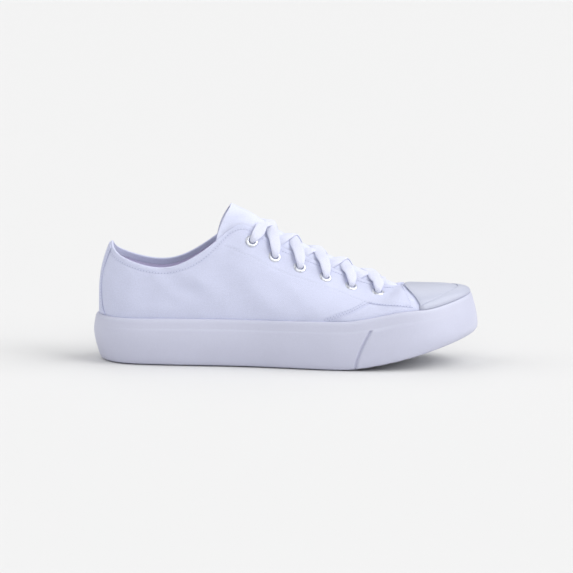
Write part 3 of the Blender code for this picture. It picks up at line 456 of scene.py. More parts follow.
def eyelet_places():
    """Each eyelet's place on the canvas, the way it faces, its name and its station."""
    fine = np.linspace(THROAT_END + 0.5, EYESTAY_END, 120)
    found = []
    for side, word in ((1, "lateral"), (-1, "medial")):
        stations = mirrored(fine, side)
        heights = [height_from_end(s, eyelet_inset(s)) for s in stations]
        lengths = lengths_along(canvas_point(stations, np.array(heights)))
        for i in range(EYELETS):
            distance = FIRST_EYELET + (EYELETS - 1 - i) * EYELET_PITCH
            station = float(np.interp(distance, lengths, stations))
            height = height_from_end(station, eyelet_inset(station))
            facing = canvas_normal(station, height)
            found.append((canvas_point(station, height), facing, f"eyelet_{i + 1}_{word}", station))
    return found


def over_tongue(station, peak, share, lift):
    """A point of the strap's line over the tongue, with the way it faces."""
    near = tongue_arch(station, peak, 0.0, np.array([share - 0.02, share]))
    along = near[1] - near[0]
    side = math.copysign(1, near[1][1] - peak[1])
    facing = np.array([0.0, -side * along[2], side * along[1]])
    facing = -unit(facing)
    return near[1] + facing * (lift + LACE / 2), facing


# Sizes of the finished pieces, in metres. A face is how far a ply lies outside the canvas's own surface.
PLY = 0.0007
VAMP_PLY = 0.0006
LINING_PLY = 0.00035
QUARTER_FACE = 0.00015
VAMP_FACE = -0.0005
LINING_FACE = -0.00125
HEM = 0.0040
HEM_ROLL = 0.00105
STITCH_PITCH = 0.0023
STITCH_LENGTH = 0.0016
# NEEDLE_HOLE sizes the dark spots of painted shade in the needle holes
NEEDLE_HOLE = 0.00040
THREAD = 0.00030
TROUGH = 0.00028
EDGE_LIFT = 0.0009
RING_HOLE = 0.0031
LINING_HOLE = 0.0030
LACE_WIDE = 0.0088
LACE_THICK = 0.0018

# Lines on the canvas, as station and height: read along the lateral side, and mirrored for the medial side
EYESTAY_LINE = (
    (14.17, 0.86), (13.45, 0.765), (12.78, 0.705), (12.03, 0.700), (11.32, 0.685),
    (10.47, 0.662), (9.58, 0.625), (9.02, 0.547), (8.45, 0.458),
)
FRONT_EDGE = ((8.45, 0.458), (8.13, 0.400), (7.2, 0.270), (6.5, 0.180), (5.88, 0.115), (5.1, 0.050))
SEAM_EDGE = (
    (8.45, 0.458), (8.62, 0.370), (8.88, 0.260), (9.25, 0.140), (9.60, 0.050), (9.80, 0.0), (10.1, -0.12),
)
CAP_SEAM = ((5.30, 0.20), (5.34, 0.50), (5.32, 0.78), (5.26, 0.985))

# Creases: three knots of each line, then its width and its depth in metres
CREASES = (
    ((16.9, 0.90), (16.4, 0.66), (15.7, 0.46), 0.0060, 0.00055),
    ((17.6, 0.62), (16.6, 0.44), (15.4, 0.34), 0.0080, 0.00045),
    ((14.6, 0.60), (13.6, 0.38), (12.9, 0.16), 0.0090, 0.00040),
    ((12.2, 0.50), (11.4, 0.30), (10.9, 0.10), 0.0070, 0.00035),
    ((19.2, 0.75), (18.2, 0.52), (17.4, 0.34), 0.0070, 0.00035),
)


def linear(code):
    """An sRGB hex colour as linear red, green, blue and alpha."""
    values = [int(code[i : i + 2], 16) / 255 for i in (0, 2, 4)]
    return tuple(v / 12.92 if v <= 0.04045 else ((v + 0.055) / 1.055) ** 2.4 for v in values) + (1.0,)


def node(tree, kind, settings=None, inputs=None):
    """Adds a node with its settings. Each named or numbered input is set, or linked to another's output."""
    made = tree.nodes.new(kind)
    for name, value in (settings or {}).items():
        setattr(made, name, value)
    for name, value in (inputs or {}).items():
        if isinstance(value, bpy.types.NodeSocket):
            tree.links.new(value, made.inputs[name])
        else:
            made.inputs[name].default_value = value
    return made


def blank(name, constants):
    """A new material with its shader's constants set on the shader's own sockets."""
    made = bpy.data.materials.new(name)
    made.use_nodes = True
    shader = made.node_tree.nodes["Principled BSDF"]
    for key, value in constants.items():
        shader.inputs[key].default_value = value
    return made, made.node_tree, shader


def paint(tree, shader, colour, layers, rough=None, relief=None):
    """Links the shader's colour, darkened a little by each layer's pattern, and its roughness and relief. A
    layer, and the roughness, is a pattern with two of its values and what each of them gives."""
    shade = linear(colour)
    for layer in layers:
        share = node(tree, "ShaderNodeMapRange", None, dict(enumerate(layer))).outputs[0]
        settings = {"data_type": "RGBA", "blend_type": "MULTIPLY"}
        shade = node(tree, "ShaderNodeMix", settings, {0: 1.0, 6: shade, 7: share}).outputs[2]
    tree.links.new(shade, shader.inputs["Base Color"])
    if rough:
        gloss = node(tree, "ShaderNodeMapRange", None, dict(enumerate(rough)))
        tree.links.new(gloss.outputs[0], shader.inputs["Roughness"])
    if relief:
        pattern, strength, depth = relief
        bump = node(tree, "ShaderNodeBump", None, dict(Height=pattern, Strength=strength, Distance=depth))
        tree.links.new(bump.outputs["Normal"], shader.inputs["Normal"])


# Patterns are scaled per metre: yarn slubs of about 1 mm, clouding of 26 mm in cloth and 38 mm in rubber, and
# 0.4 mm turning marks on the rings. The paper's fibres are 1 mm, coarser than real ones, so that they show.
SLUBS = 900.0
CLOTH_CLOUDS = 38.0
RUBBER_CLOUDS = 26.0
TURNING_MARKS = 2600.0
FIBRES = 900.0
NOISE = "ShaderNodeTexNoise"
WAVE = "ShaderNodeTexWave"


def woven(name, colour, thread, depth, sheen, twill=False, contrast=0.06):
    """Woven cotton. Its threads cross over and under each other, so light breaks on small raised cells, and
    slubs in the yarn make the colour a little uneven. thread is the threads' spacing in metres on the UV map,
    about twice that of real cloth so that it shows. The painted_shade attribute darkens the cloth with
    painted shade along its seams' troughs and beside the throat edge."""
    fixed = {"Sheen Weight": sheen, "Sheen Roughness": 0.5, "Specular IOR Level": 0.3}
    made, tree, shader = blank(name, fixed)
    place = node(tree, "ShaderNodeUVMap", {"uv_map": "cloth"}).outputs["UV"]
    lie = (0, 0, math.radians(45 if twill else 0))
    vector = node(tree, "ShaderNodeMapping", None, {"Vector": place, "Rotation": lie}).outputs["Vector"]
    wave = {"Vector": vector, "Scale": 2 * math.pi / (20 * thread)}
    warp, weft = [node(tree, WAVE, {"bands_direction": way}, wave).outputs["Fac"] for way in ("X", "Y")]
    check = node(tree, "ShaderNodeTexChecker", None, {"Vector": vector, "Scale": 1 / thread}).outputs["Fac"]
    cells = node(tree, "ShaderNodeMix", {"data_type": "FLOAT"}, {0: check, 2: warp, 3: weft}).outputs[0]
    slub = node(tree, NOISE, None, dict(Vector=vector, Scale=SLUBS, Detail=3.0, Roughness=0.6)).outputs["Fac"]
    clouds = dict(Vector=place, Scale=CLOTH_CLOUDS, Detail=3.0, Roughness=0.55)
    cloud = node(tree, NOISE, None, clouds).outputs["Fac"]
    raised = {0: slub, 1: 0.9, 2: cells}
    height = node(tree, "ShaderNodeMath", {"operation": "MULTIPLY_ADD"}, raised).outputs[0]
    painted_shade = node(tree, "ShaderNodeAttribute", {"attribute_name": "painted_shade"}).outputs["Fac"]
    layers = (
        (cells, 0.0, 0.6, 1 - contrast, 1.0),
        (slub, 0.35, 0.65, 0.93, 1.0),
        (cloud, 0.35, 0.65, 0.965, 1.0),
        (painted_shade, 0.0, 1.0, 1.0, 0.80),
    )
    paint(tree, shader, colour, layers, (slub, 0.3, 0.7, 0.85, 0.97), (height, 0.75, depth))
    return made


def moulded(name, colour, gloss, grain, depth):
    """Vulcanised rubber from a smooth mould: a soft satin gloss, a very fine skin and slight clouding. grain
    is the skin's size in metres, coarser than the real one so that it shows."""
    made, tree, shader = blank(name, {"IOR": 1.52})
    place = node(tree, "ShaderNodeTexCoord").outputs["Object"]
    skin = node(tree, NOISE, None, dict(Vector=place, Scale=1 / grain, Detail=2.0)).outputs["Fac"]
    clouds = dict(Vector=place, Scale=RUBBER_CLOUDS, Detail=4.0, Roughness=0.6)
    cloud = node(tree, NOISE, None, clouds).outputs["Fac"]
    layers = ((cloud, 0.35, 0.65, 0.965, 1.0), (skin, 0.3, 0.7, 0.975, 1.0))
    paint(tree, shader, colour, layers, (cloud, 0.3, 0.7, gloss - 0.06, gloss + 0.08), (skin, 0.4, depth))
    return made


def rolled_metal(name, colour):
    """Nickel plated brass, stamped and rolled: bright, with faint turning marks."""
    made, tree, shader = blank(name, {"Metallic": 1.0})
    place = node(tree, "ShaderNodeTexCoord").outputs["Object"]
    marks = node(tree, NOISE, None, dict(Vector=place, Scale=TURNING_MARKS, Detail=2.0)).outputs["Fac"]
    layers = [(marks, 0.3, 0.7, 0.92, 1.0)]
    paint(tree, shader, colour, layers, (marks, 0.3, 0.7, 0.27, 0.38), (marks, 0.15, 0.00004))
    return made


def paper(name, colour):
    """Matt background paper: even, pale and without gloss."""
    made, tree, shader = blank(name, {"Roughness": 1.0})
    place = node(tree, "ShaderNodeTexCoord").outputs["Object"]
    fibre = node(tree, NOISE, None, dict(Vector=place, Scale=FIBRES, Detail=2.0)).outputs["Fac"]
    paint(tree, shader, colour, [(fibre, 0.3, 0.7, 0.995, 1.0)])
    return made


CANVAS_CLOTH = woven("bleached_cotton_canvas", "d6daf2", 0.00085, 0.00014, 0.12)
# A lighter copy of the same canvas: painted light on the tongue, which faces up into the light
TONGUE_CLOTH_PAINTED_LIGHTER = woven("bleached_cotton_canvas_painted_lighter", "e3e7fd", 0.00085, 0.00014, 0.12)
LINING_CLOTH = woven("cotton_twill_lining", "eae4ff", 0.0010, 0.00015, 0.10, twill=True)
FOOTBED_CLOTH = woven("cotton_twill_on_foam", "d2d3e6", 0.0011, 0.00016, 0.10, twill=True)
LACE_CLOTH = woven("flat_braided_cotton", "e8ebfe", 0.00095, 0.00022, 0.20, twill=True, contrast=0.10)
THREAD_MATERIAL = woven("spun_polyester_thread", "dee2f8", 0.0004, 0.00005, 0.10, contrast=0.12)
FOXING_RUBBER = moulded("vulcanised_white_rubber", "c7c9dc", 0.42, 0.0011, 0.00003)
# A darker copy of the foxing rubber for cap and tape: painted shade, since the toe's top catches more light
CAP_RUBBER_PAINTED_DARKER = moulded("cap_rubber_painted_darker", "b9bdcf", 0.40, 0.0011, 0.00003)
OUTSOLE_RUBBER = moulded("moulded_tread_rubber", "bdbfcc", 0.55, 0.0014, 0.00006)
EYELET_METAL = rolled_metal("nickel_plated_brass", "d9dce4")
# Dark spots of painted shade stand in for the shade inside the needle holes
HOLE_SHADE_MATERIAL = woven("shaded_needle_holes", "b9bdda", 0.0004, 0.00002, 0.0)
PAPER = paper("matt_background_paper", "dcdcdc")


# Making pieces


def wear(thing, material, slot, *nodes):
    """Gives a piece its material, its body and the solids that it stands for. Its slot argument is not used.
    """
    thing.data.materials.clear()
    thing.data.materials.append(material)
    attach(thing, "root")
    if nodes:
        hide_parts(*nodes)
    return thing


def edit_all(*steps):
    """Runs edit mode operators on the whole of the active mesh."""
    bpy.ops.object.mode_set(mode="EDIT")
    bpy.ops.mesh.select_all(action="SELECT")
    for step in steps:
        step()
    bpy.ops.object.mode_set(mode="OBJECT")


def sheet(name, points, thickness=0.0, bevel=0.0, painted_shade=None, holes=(), flip=True, angle=50):
    """A primitive grid laid over rows of points, with its UV map in metres, its weld, holes and wall."""
    ribs, rows = points.shape[:2]
    bpy.ops.object.select_all(action="DESELECT")
    bpy.ops.mesh.primitive_grid_add(x_subdivisions=ribs - 1, y_subdivisions=rows - 1, size=2)
    thing = bpy.context.object
    thing.name = name
    mesh = thing.data
    mesh.name = name
    flat = np.empty(len(mesh.vertices) * 3)
    mesh.vertices.foreach_get("co", flat)
    flat = flat.reshape(-1, 3)
    k = np.rint((flat[:, 0] + 1) / 2 * (ribs - 1)).astype(int)
    j = np.rint((flat[:, 1] + 1) / 2 * (rows - 1)).astype(int)
    mesh.vertices.foreach_set("co", points[k, j].ravel())
    along = np.linalg.norm(np.diff(points, axis=0), axis=2).mean(axis=1)
    along = np.concatenate([[0.0], np.cumsum(along)])
    up = np.linalg.norm(np.diff(points, axis=1), axis=2)
    up = np.concatenate([np.zeros((ribs, 1)), np.cumsum(up, axis=1)], axis=1)
    corners = np.empty(len(mesh.loops), int)
    mesh.loops.foreach_get("vertex_index", corners)
    layer = mesh.uv_layers[0]
    layer.name = "cloth"
    places = np.column_stack([along[k], up[k, j]])[corners]
    layer.data.foreach_set("uv", places.ravel())
    # The painted_shade attribute carries painted shade that darkens the cloth's colour
    values = np.zeros(len(k)) if painted_shade is None else painted_shade[k, j]
    mesh.attributes.new("painted_shade", "FLOAT", "POINT").data.foreach_set("value", values)
    steps = [lambda: bpy.ops.mesh.remove_doubles(threshold=2e-6)]
    if flip:
        steps.append(bpy.ops.mesh.flip_normals)
    edit_all(*steps)
    for centre, axis, radius in holes:
        cut_hole(thing, centre, axis, radius)
    if thickness:
        wall = thing.modifiers.new("wall", "SOLIDIFY")
        wall.thickness = thickness
        wall.offset = -1
        bpy.ops.object.modifier_apply(modifier="wall")
    if bevel:
        rounding = thing.modifiers.new("rounding", "BEVEL")
        rounding.width = bevel
        rounding.segments = 2
        rounding.limit_method = "ANGLE"
        rounding.angle_limit = math.radians(angle)
        bpy.ops.object.modifier_apply(modifier="rounding")
    edit_all(lambda: bpy.ops.mesh.normals_make_consistent(inside=False))
    bpy.ops.object.shade_smooth_by_angle(angle=math.radians(40))
    return thing


def cut_hole(thing, centre, axis, radius):
    """Deletes the faces of a sheet round an axis and draws the hole's rim to a circle."""
    mesh = thing.data
    middles = np.empty(len(mesh.polygons) * 3)
    mesh.polygons.foreach_get("center", middles)
    away = middles.reshape(-1, 3) - centre
    deep = away @ axis
    flat = away - deep[:, None] * axis
    inside = (np.linalg.norm(flat, axis=1) < radius) & (np.abs(deep) < 0.005)
    bpy.ops.object.mode_set(mode="EDIT")
    bpy.ops.mesh.select_all(action="DESELECT")
    bpy.ops.mesh.select_mode(type="FACE")
    bpy.ops.object.mode_set(mode="OBJECT")
    mesh.polygons.foreach_set("select", inside)
    rim = set()
    for k in np.nonzero(inside)[0]:
        rim.update(mesh.polygons[int(k)].vertices)
    near = [mesh.vertices[i].co.copy() for i in rim]
    bpy.ops.object.mode_set(mode="EDIT")
    bpy.ops.mesh.delete(type="FACE")
    bpy.ops.object.mode_set(mode="OBJECT")
    spots = {tuple(round(v, 7) for v in co) for co in near}
    for vert in thing.data.vertices:
        if tuple(round(v, 7) for v in vert.co) in spots:
            away = np.array(vert.co) - centre
            deep = away @ axis
            flat = away - deep * axis
            vert.co = tuple(centre + deep * axis + flat / np.linalg.norm(flat) * radius)


def knots_line(knots, side, count=160):
    """Stations and heights along a line of knots, on the lateral side for 1 and the medial side for -1."""
    knots = np.array(knots, float)
    steps = lengths_along(knots * (0.1, 1.0))
    line = smooth_curve(steps, knots)(np.linspace(0, steps[-1], count))
    return mirrored(line[:, 0], side), line[:, 1]


def nearest(points, line):
    """Each point's distance to a line of points."""
    flat = points.reshape(-1, 3)
    best = np.full(len(flat), 1.0)
    for k in range(0, len(line), 2):
        best = np.minimum(best, np.linalg.norm(flat - line[k], axis=1))
    return best.reshape(points.shape[:-1])


def soft(distance, width):
    return np.exp(-((distance / width) ** 2))


def ripples(points):
    """The slight hand-made unevenness of cloth on a last, in metres."""
    x, y, z = np.moveaxis(points, -1, 0)
    wave = np.sin(x * 95 + z * 60) * np.sin(z * 110 - x * 35 + 1.3)
    wave += 0.6 * np.sin(x * 210 - z * 150 + 0.7) * np.sin(z * 190 + y * 120)
    return 0.00016 * wave


def creases(points, side):
    """Soft troughs and ridges of the worn-in canvas, at listed places."""
    total = np.zeros(points.shape[:-1])
    for *knots, width, depth in CREASES:
        stations, heights = knots_line(knots, side, 40)
        distance = nearest(points, np.repeat(canvas_point(stations, heights), 2, axis=0))
        total += depth * (soft(distance, width) - 0.7 * soft(distance - 1.5 * width, 0.8 * width))
    return -total


ROWS_SEWN = {}


def stitch_run(group, points, facings, sink=0.0):
    """Keeps a row of thread stitches along a line of points, with dark spots of painted shade for the needle
    holes between them.
    """
    lengths = lengths_along(points)
    count = int(lengths[-1] / STITCH_PITCH)
    pitch = lengths[-1] / count

    def read(where, values):
        return np.column_stack([np.interp(where, lengths, values[:, i]) for i in range(3)])

    # The holes are dark spots of painted shade, set flush between the stitches
    kinds = (("thread", 0.5, STITCH_LENGTH / 2, 0.45 * THREAD - sink), ("holes", 1.0, NEEDLE_HOLE, -sink))
    for kind, first, half, raised in kinds:
        at = (np.arange(count) + first) * pitch
        facing = read(at, facings)
        ahead = read(at + half, points) - read(at - half, points)
        keep = np.linalg.norm(ahead, axis=1) > 0.5 * half
        middle = read(at, points) + facing * raised
        ROWS_SEWN.setdefault((group, kind), []).append((middle[keep], ahead[keep], facing[keep]))


def sew(name, group, kind, material, half, wide, high):
    """One piece from a group's rows: a ball drawn out to a stitch or to a dark spot of painted shade in a
    needle hole, and copied to each place.
    """
    bpy.ops.object.select_all(action="DESELECT")
    bpy.ops.mesh.primitive_uv_sphere_add(segments=8, ring_count=6, radius=1.0)
    ball = bpy.context.object
    local = np.array([tuple(vert.co) for vert in ball.data.vertices])[:, [2, 0, 1]]
    local[:, 0] = np.sign(local[:, 0]) * np.abs(local[:, 0]) ** 0.6
    faces = [tuple(face.vertices) for face in ball.data.polygons]
    places, loops = [], []
    for middle, ahead, facing in ROWS_SEWN[group, kind]:
        ahead = unit(ahead)
        across = unit(np.cross(facing, ahead))
        above = np.cross(ahead, across)
        for m, a, c, u in zip(middle, ahead, across, above):
            base = len(places) * len(local)
            places.append(m + local[:, :1] * a * half + local[:, 1:2] * c * wide + local[:, 2:] * u * high)
            loops += [tuple(base + i for i in face) for face in faces]
    mesh = bpy.data.meshes.new(name)
    mesh.from_pydata(np.concatenate(places).tolist(), [], loops)
    old = ball.data
    ball.data = mesh
    bpy.data.meshes.remove(old)
    ball.name = name
    mesh.uv_layers.new(name="cloth")
    corners = np.empty(len(mesh.loops), int)
    mesh.loops.foreach_get("vertex_index", corners)
    spot = np.tile(local[:, :2] * (half, wide), (len(places), 1))[corners]
    mesh.uv_layers[0].data.foreach_set("uv", spot.ravel())
    edit_all(lambda: bpy.ops.mesh.normals_make_consistent(inside=False))
    bpy.ops.object.shade_smooth()
    return wear(ball, material, "canvas")


def canvas_line(knots, side):
    """A line's points and facings on the canvas."""
    stations, heights = knots_line(knots, side)
    return canvas_point(stations, heights), canvas_normal(stations, heights)


def row_below_edge(stations, distances, side):
    """Points and facings at distances below the throat's and the collar's edge."""
    at = mirrored(stations, side)
    heights = np.array([height_from_end(float(s), d) for s, d in zip(at, distances)])
    return canvas_point(at, heights), canvas_normal(at, heights)


def meet(points, one, other):
    """Brings the upper ends of two runs of ribs together at their middle."""
    middle = (points[one, -1] + points[other, -1]) / 2
    points[one, -1] = middle
    points[other, -1] = middle


def smoothed(points, share, times):
    """Evens out a grid of points between their neighbours, by a share for each of them."""
    for _ in range(times):
        calm = (points[:-2, 1:-1] + points[2:, 1:-1] + points[1:-1, :-2] + points[1:-1, 2:]) / 4
        points[1:-1, 1:-1] += (calm - points[1:-1, 1:-1]) * share[1:-1, 1:-1]
    return points


# Upper

RINGS = eyelet_places()

# Where the vamp's and the lining's two sides part, at the throat's front
THROAT_FRONT = 5.96

# A quarter's front end at the cap, how far it leans back towards the throat, and its lap past the heel seam
QUARTER_FRONT, QUARTER_LEAN, HEEL_LAP = 5.2, 0.95, 0.02
QUARTER_RIBS, QUARTER_ROWS = 292, 78
ROLL_ROWS, HEM_ROWS = 8, 6

# The row of stitches below the collar swings lower at the ankle's lowest place
COLLAR_ROW = np.linspace(14.0, 20.9, 150)
COLLAR_INSET = 0.0034 + 0.0030 * np.exp(-(((COLLAR_ROW - 15.6) / 0.9) ** 2))
THROAT_ROW = np.linspace(6.4, 14.0, 150)
THROAT_INSET = 0.0030

# The vamp's reach in stations, its lower edge under the foxing, and how far below the throat edge it ends
VAMP_REACH, VAMP_LOW, VAMP_BELOW_EDGE = 12, -0.12, 0.009

# The lining goes down to the footbed, and up to just below the hem
LINING_LOW, LINING_BELOW_EDGE = -0.93, HEM + 0.0003

# Two rows run down the side seam, each at a shift behind its edge
SEAM_SHIFTS = (0.10, 0.27)
FRONT_SHIFT = (0.09, 0.035)

# Along a seam's trough the cloth carries painted shade that darkens it by this share. Beside the eyestay's
# line a ridge stands up, and a quarter's lower edge is eased down on to what it overlaps.
SEAM_PAINTED_SHADE = 0.35
EYESTAY_RIDGE = 0.00022
LOW_EDGE_EASE = 0.00042


def low_edge(station):
    """The height of a quarter's lower edge: along its front, down the seam, then under the foxing."""
    knots = np.array(FRONT_EDGE[::-1] + SEAM_EDGE[1:])
    return np.interp(station, knots[:, 0], knots[:, 1])


def quarter(side, word):
    """One quarter with its eyestay, its hem rolled over the collar and throat edge."""
    rows = np.linspace(0, 1, QUARTER_ROWS)
    front = QUARTER_FRONT + QUARTER_LEAN * rows**3
    station = front + (ROWS + HEEL_LAP - front) * np.linspace(0, 1, QUARTER_RIBS)[:, None]
    low = low_edge(station)
    height = low + (1 - low) * rows
    at = mirrored(station, side)
    face, out = canvas_point(at, height), canvas_normal(at, height)
    eyestay = canvas_line(EYESTAY_LINE, side)
    collar = row_below_edge(COLLAR_ROW, COLLAR_INSET, side)
    throat = row_below_edge(THROAT_ROW, np.full(len(THROAT_ROW), THROAT_INSET), side)
    seams = [canvas_line([(s + FRONT_SHIFT[0], h + FRONT_SHIFT[1]) for s, h in FRONT_EDGE], side)]
    for shift in SEAM_SHIFTS:
        seams.append(canvas_line([(s + shift, h + 0.02 + 0.05 * shift) for s, h in SEAM_EDGE[:-1]], side))
    lines = [
        (eyestay, TROUGH, 0.0010),
        (eyestay, -EYESTAY_RIDGE, 0.0035),
        (collar, TROUGH, 0.0011),
        (throat, TROUGH, 0.0010),
    ]
    lines += [(seam, TROUGH, 0.0009) for seam in seams]
    relief = ripples(face) + creases(face, side)
    # Painted shade darkens the cloth along each seam's trough
    painted_shade = np.zeros(face.shape[:2])
    for (line, _), depth, width in lines:
        near = nearest(face, line)
        relief -= depth * soft(near, width)
        if depth > 0:
            painted_shade = np.maximum(painted_shade, SEAM_PAINTED_SHADE * soft(near, 0.7 * width))
    relief = relief * np.clip((1 - height) / 0.015, 0, 1)
    eased = LOW_EDGE_EASE * soft((height - low) * 0.055, 0.0025)
    outer = face + out * (QUARTER_FACE + relief - eased)[..., None]
    turning = np.clip((7.4 - station) / 0.6, 0, 1) * np.clip((station - 5.25) / 0.3, 0, 1)
    turning = turning * np.clip((1 - height) / 0.1, 0, 1)
    outer = smoothed(outer, turning[..., None], 60)
    edge, way, ends = face[:, -1], out[:, -1], at[:, -1]
    up = edge - canvas_point(ends, height[:, -1] - 0.03)
    up = unit(up - np.sum(up * way, axis=1, keepdims=True) * way)
    centre = edge + way * (QUARTER_FACE - HEM_ROLL)
    rolled = []
    for turn in np.linspace(0, math.pi, ROLL_ROWS + 1)[1:]:
        rolled.append(centre + way * HEM_ROLL * math.cos(turn) + up * HEM_ROLL * math.sin(turn))
    for i in range(HEM_ROWS):
        heights = np.array([height_from_end(float(s), HEM * (i + 1) / HEM_ROWS) for s in ends])
        rolled.append(canvas(ends, heights, QUARTER_FACE - 2 * HEM_ROLL))
    points = np.concatenate([outer, np.stack(rolled, axis=1)], axis=1)
    painted_shade = np.concatenate([painted_shade, np.zeros((QUARTER_RIBS, len(rolled)))], axis=1)
    holes = [(place, facing, RING_HOLE) for place, facing, name, _ in RINGS if word in name]
    if side < 0:
        points, painted_shade = points[::-1], painted_shade[::-1]
    made = sheet(f"quarter_{word}", points, PLY, 0.0, painted_shade, holes)
    for line, normals in [collar, throat, eyestay, canvas_line(CAP_SEAM, side)] + seams:
        lie = QUARTER_FACE + ripples(line[:, None])[:, 0] + creases(line[:, None], side)[:, 0]
        stitch_run(word, line + normals * lie[:, None], normals, 0.6 * TROUGH)
    return made


def rib_rows(stations, start, distance, ease, rows):
    """Rib heights from a start to the upper end, or to a distance below it beside the throat and collar."""
    tops = np.ones(len(stations))
    for i, s in enumerate(stations):
        past = from_toe(s) - THROAT_FRONT
        if past > 0:
            tops[i] = 1 + (height_from_end(float(s % ROUND), distance) - 1) * min(past / ease, 1)
    height = start + (tops[:, None] - start) * np.linspace(0, 1, rows)[None, :]
    return np.broadcast_to(stations[:, None] % ROUND, height.shape), height


def vamp():
    """The front panel, over the toes and on under both quarters."""
    ribs, rows = 360, 56
    stations = np.linspace(-VAMP_REACH, VAMP_REACH, ribs + 1)
    at, height = rib_rows(stations, VAMP_LOW, VAMP_BELOW_EDGE, 0.5, rows)
    face, out = canvas_point(at, height), canvas_normal(at, height)
    under = np.clip((height - 0.86) / 0.14, 0, 1) * (np.abs(stations)[:, None] < THROAT_FRONT)
    relief = ripples(face) * (1 - under)
    shown = 0.0006 * soft(height, 0.10) * np.clip((9.6 - np.abs(stations)) / 0.4, 0, 1)[:, None]
    points = face + out * (VAMP_FACE + shown + relief)[..., None]
    closed = np.nonzero(stations[ribs // 2 :] <= THROAT_FRONT)[0]
    meet(points, ribs // 2 + closed, ribs // 2 - closed)
    return sheet("vamp", points, VAMP_PLY)


def lining():
    """The cotton lining inside the whole upper."""
    ribs, rows = 336, 34
    stations = np.linspace(0, ROUND, ribs + 1)
    at, height = rib_rows(stations, LINING_LOW, LINING_BELOW_EDGE, 0.3, rows)
    points = canvas(at, height, LINING_FACE)
    closed = np.nonzero(stations[: ribs // 2] <= THROAT_FRONT)[0]
    meet(points, closed, ribs - closed)
    points[-1] = points[0]
    holes = [(place, facing, LINING_HOLE) for place, facing, name, _ in RINGS]
    return sheet("lining", points, LINING_PLY, holes=holes)


wear(quarter(1, "lateral"), CANVAS_CLOTH, "canvas", "upper")
wear(quarter(-1, "medial"), CANVAS_CLOTH, "canvas", "upper")
wear(vamp(), CANVAS_CLOTH, "canvas", "upper")
wear(lining(), LINING_CLOTH, "canvas", "upper")


# Toe cap, bumper, heel strip

# The cap's and the tape's rear ends slant forward towards the foxing, by this share of their stations
CAP_SLANT = 0.075

# Ribs on each side of the middle whose upper ends run together in one point at the cap's top
POLE_RIBS = 8

# The cap's face over the last at its rear edge, how much fuller it is before that, its wall and its rounding
CAP_EDGE_FACE, CAP_FULLER, CAP_WALL, CAP_ROUNDING = 0.0006, 0.0007, 0.0011, 0.0003

# The toe's front droops most at this place, by this depth and over this reach
DROOP_X, DROOP, DROOP_REACH = 0.1375, 0.0018, 0.0085

# The tape across its width: places from the foxing to the cap, and how full it is there
TAPE_SHARES = np.array([0.0, 0.0, 0.02, 0.06, 0.13, 0.3, 0.5, 0.7, 0.85, 0.93, 0.98, 1.0, 1.0])
TAPE_CROWN = np.array([0.0, 0.45, 0.72, 0.9, 1.0, 1.0, 0.98, 0.93, 0.87, 0.81, 0.70, 0.45, 0.0])
TAPE_FACE = 0.0023

# The backstay's half width in stations, by height, and where its stitches run across it
BACKSTAY_HEIGHTS = (0.0, 0.015, 0.10, 0.25, 0.45, 0.65, 0.85, 1.0)
BACKSTAY_REACH = (1.24, 1.21, 0.93, 0.75, 0.68, 0.72, 0.78, 0.84)
BACKSTAY_ROW = 0.82
BACKSTAY_FACE, BACKSTAY_PLY, BACKSTAY_ROUNDING = 0.0010, 0.0008, 0.0002


def toe_stations(last, step):
    """Stations round the toe to both ends, with how many lie on each side of the tip."""
    count = int(round(last / step))
    return np.linspace(-last, last, 2 * count + 1), count


def lowered(points, share):
    """The toe's upper front, set a little lower than the last: its outline falls away before the tape."""
    points[..., 2] -= DROOP * share * soft(points[..., 0] - DROOP_X, DROOP_REACH)
    return points


def toe_cap():
    """The rubber cap: smooth, a little thinner towards its rear edge."""
    stations, half = toe_stations(CAP_EDGE, 0.06)
    ends = stations * (1 - CAP_SLANT)
    low = np.array([height_from_foxing(float(s % ROUND), bumper_width(s) - 0.0003) for s in ends])
    shares = np.linspace(0, 1, 40)
    height = low[:, None] + (1 - low[:, None]) * shares[None, :]
    at = (stations[:, None] * (1 - CAP_SLANT * (1 - shares[None, :]) ** 1.5)) % ROUND
    rear = np.clip((CAP_EDGE - np.abs(stations)) / 0.35, 0, 1)[:, None] ** 0.5
    dip = CAP_FULLER * soft(shares, 0.035)[None, :]
    offset = CAP_EDGE_FACE + (CAP_FULLER - dip) * rear * np.ones_like(height)
    points = lowered(canvas(at, height, offset[..., None]), np.minimum(shares / 0.1 + 0.6, 1)[None, :])
    ribs = np.arange(1, half + 1)
    meet(points, half + ribs, half - ribs)
    front = slice(half - POLE_RIBS, half + POLE_RIBS + 1)
    points[front, -1] = points[half + POLE_RIBS, -1]
    near = np.clip((1.5 - np.abs(stations)) / 0.5, 0, 1)[:, None] * np.clip((shares - 0.6) / 0.2, 0, 1)
    points = smoothed(points, near[..., None], 40)
    return sheet("cap_rubber", points, CAP_WALL, CAP_ROUNDING, angle=75)


def toe_bumper():
    """The tape round the toe above the foxing, with rounded long edges."""
    stations, _ = toe_stations(CAP_EDGE + 0.05, 0.05)
    laid = stations * (1 - CAP_SLANT)
    ends = np.array([[height_from_foxing(s % ROUND, d) for d in (-0.0001, bumper_width(s))] for s in laid])
    height = ends[:, :1] + (ends[:, 1:] - ends[:, :1]) * TAPE_SHARES[None, :]
    at = np.broadcast_to(laid[:, None] % ROUND, height.shape)
    fade = np.clip((CAP_EDGE + 0.06 - np.abs(stations)) / 0.25, 0.02, 1)[:, None] ** 0.5
    offset = 0.0001 + TAPE_FACE * TAPE_CROWN[None, :] * fade
    return sheet("bumper_rubber", lowered(canvas(at, height, offset[..., None]), TAPE_SHARES[None, :] * 0.75))


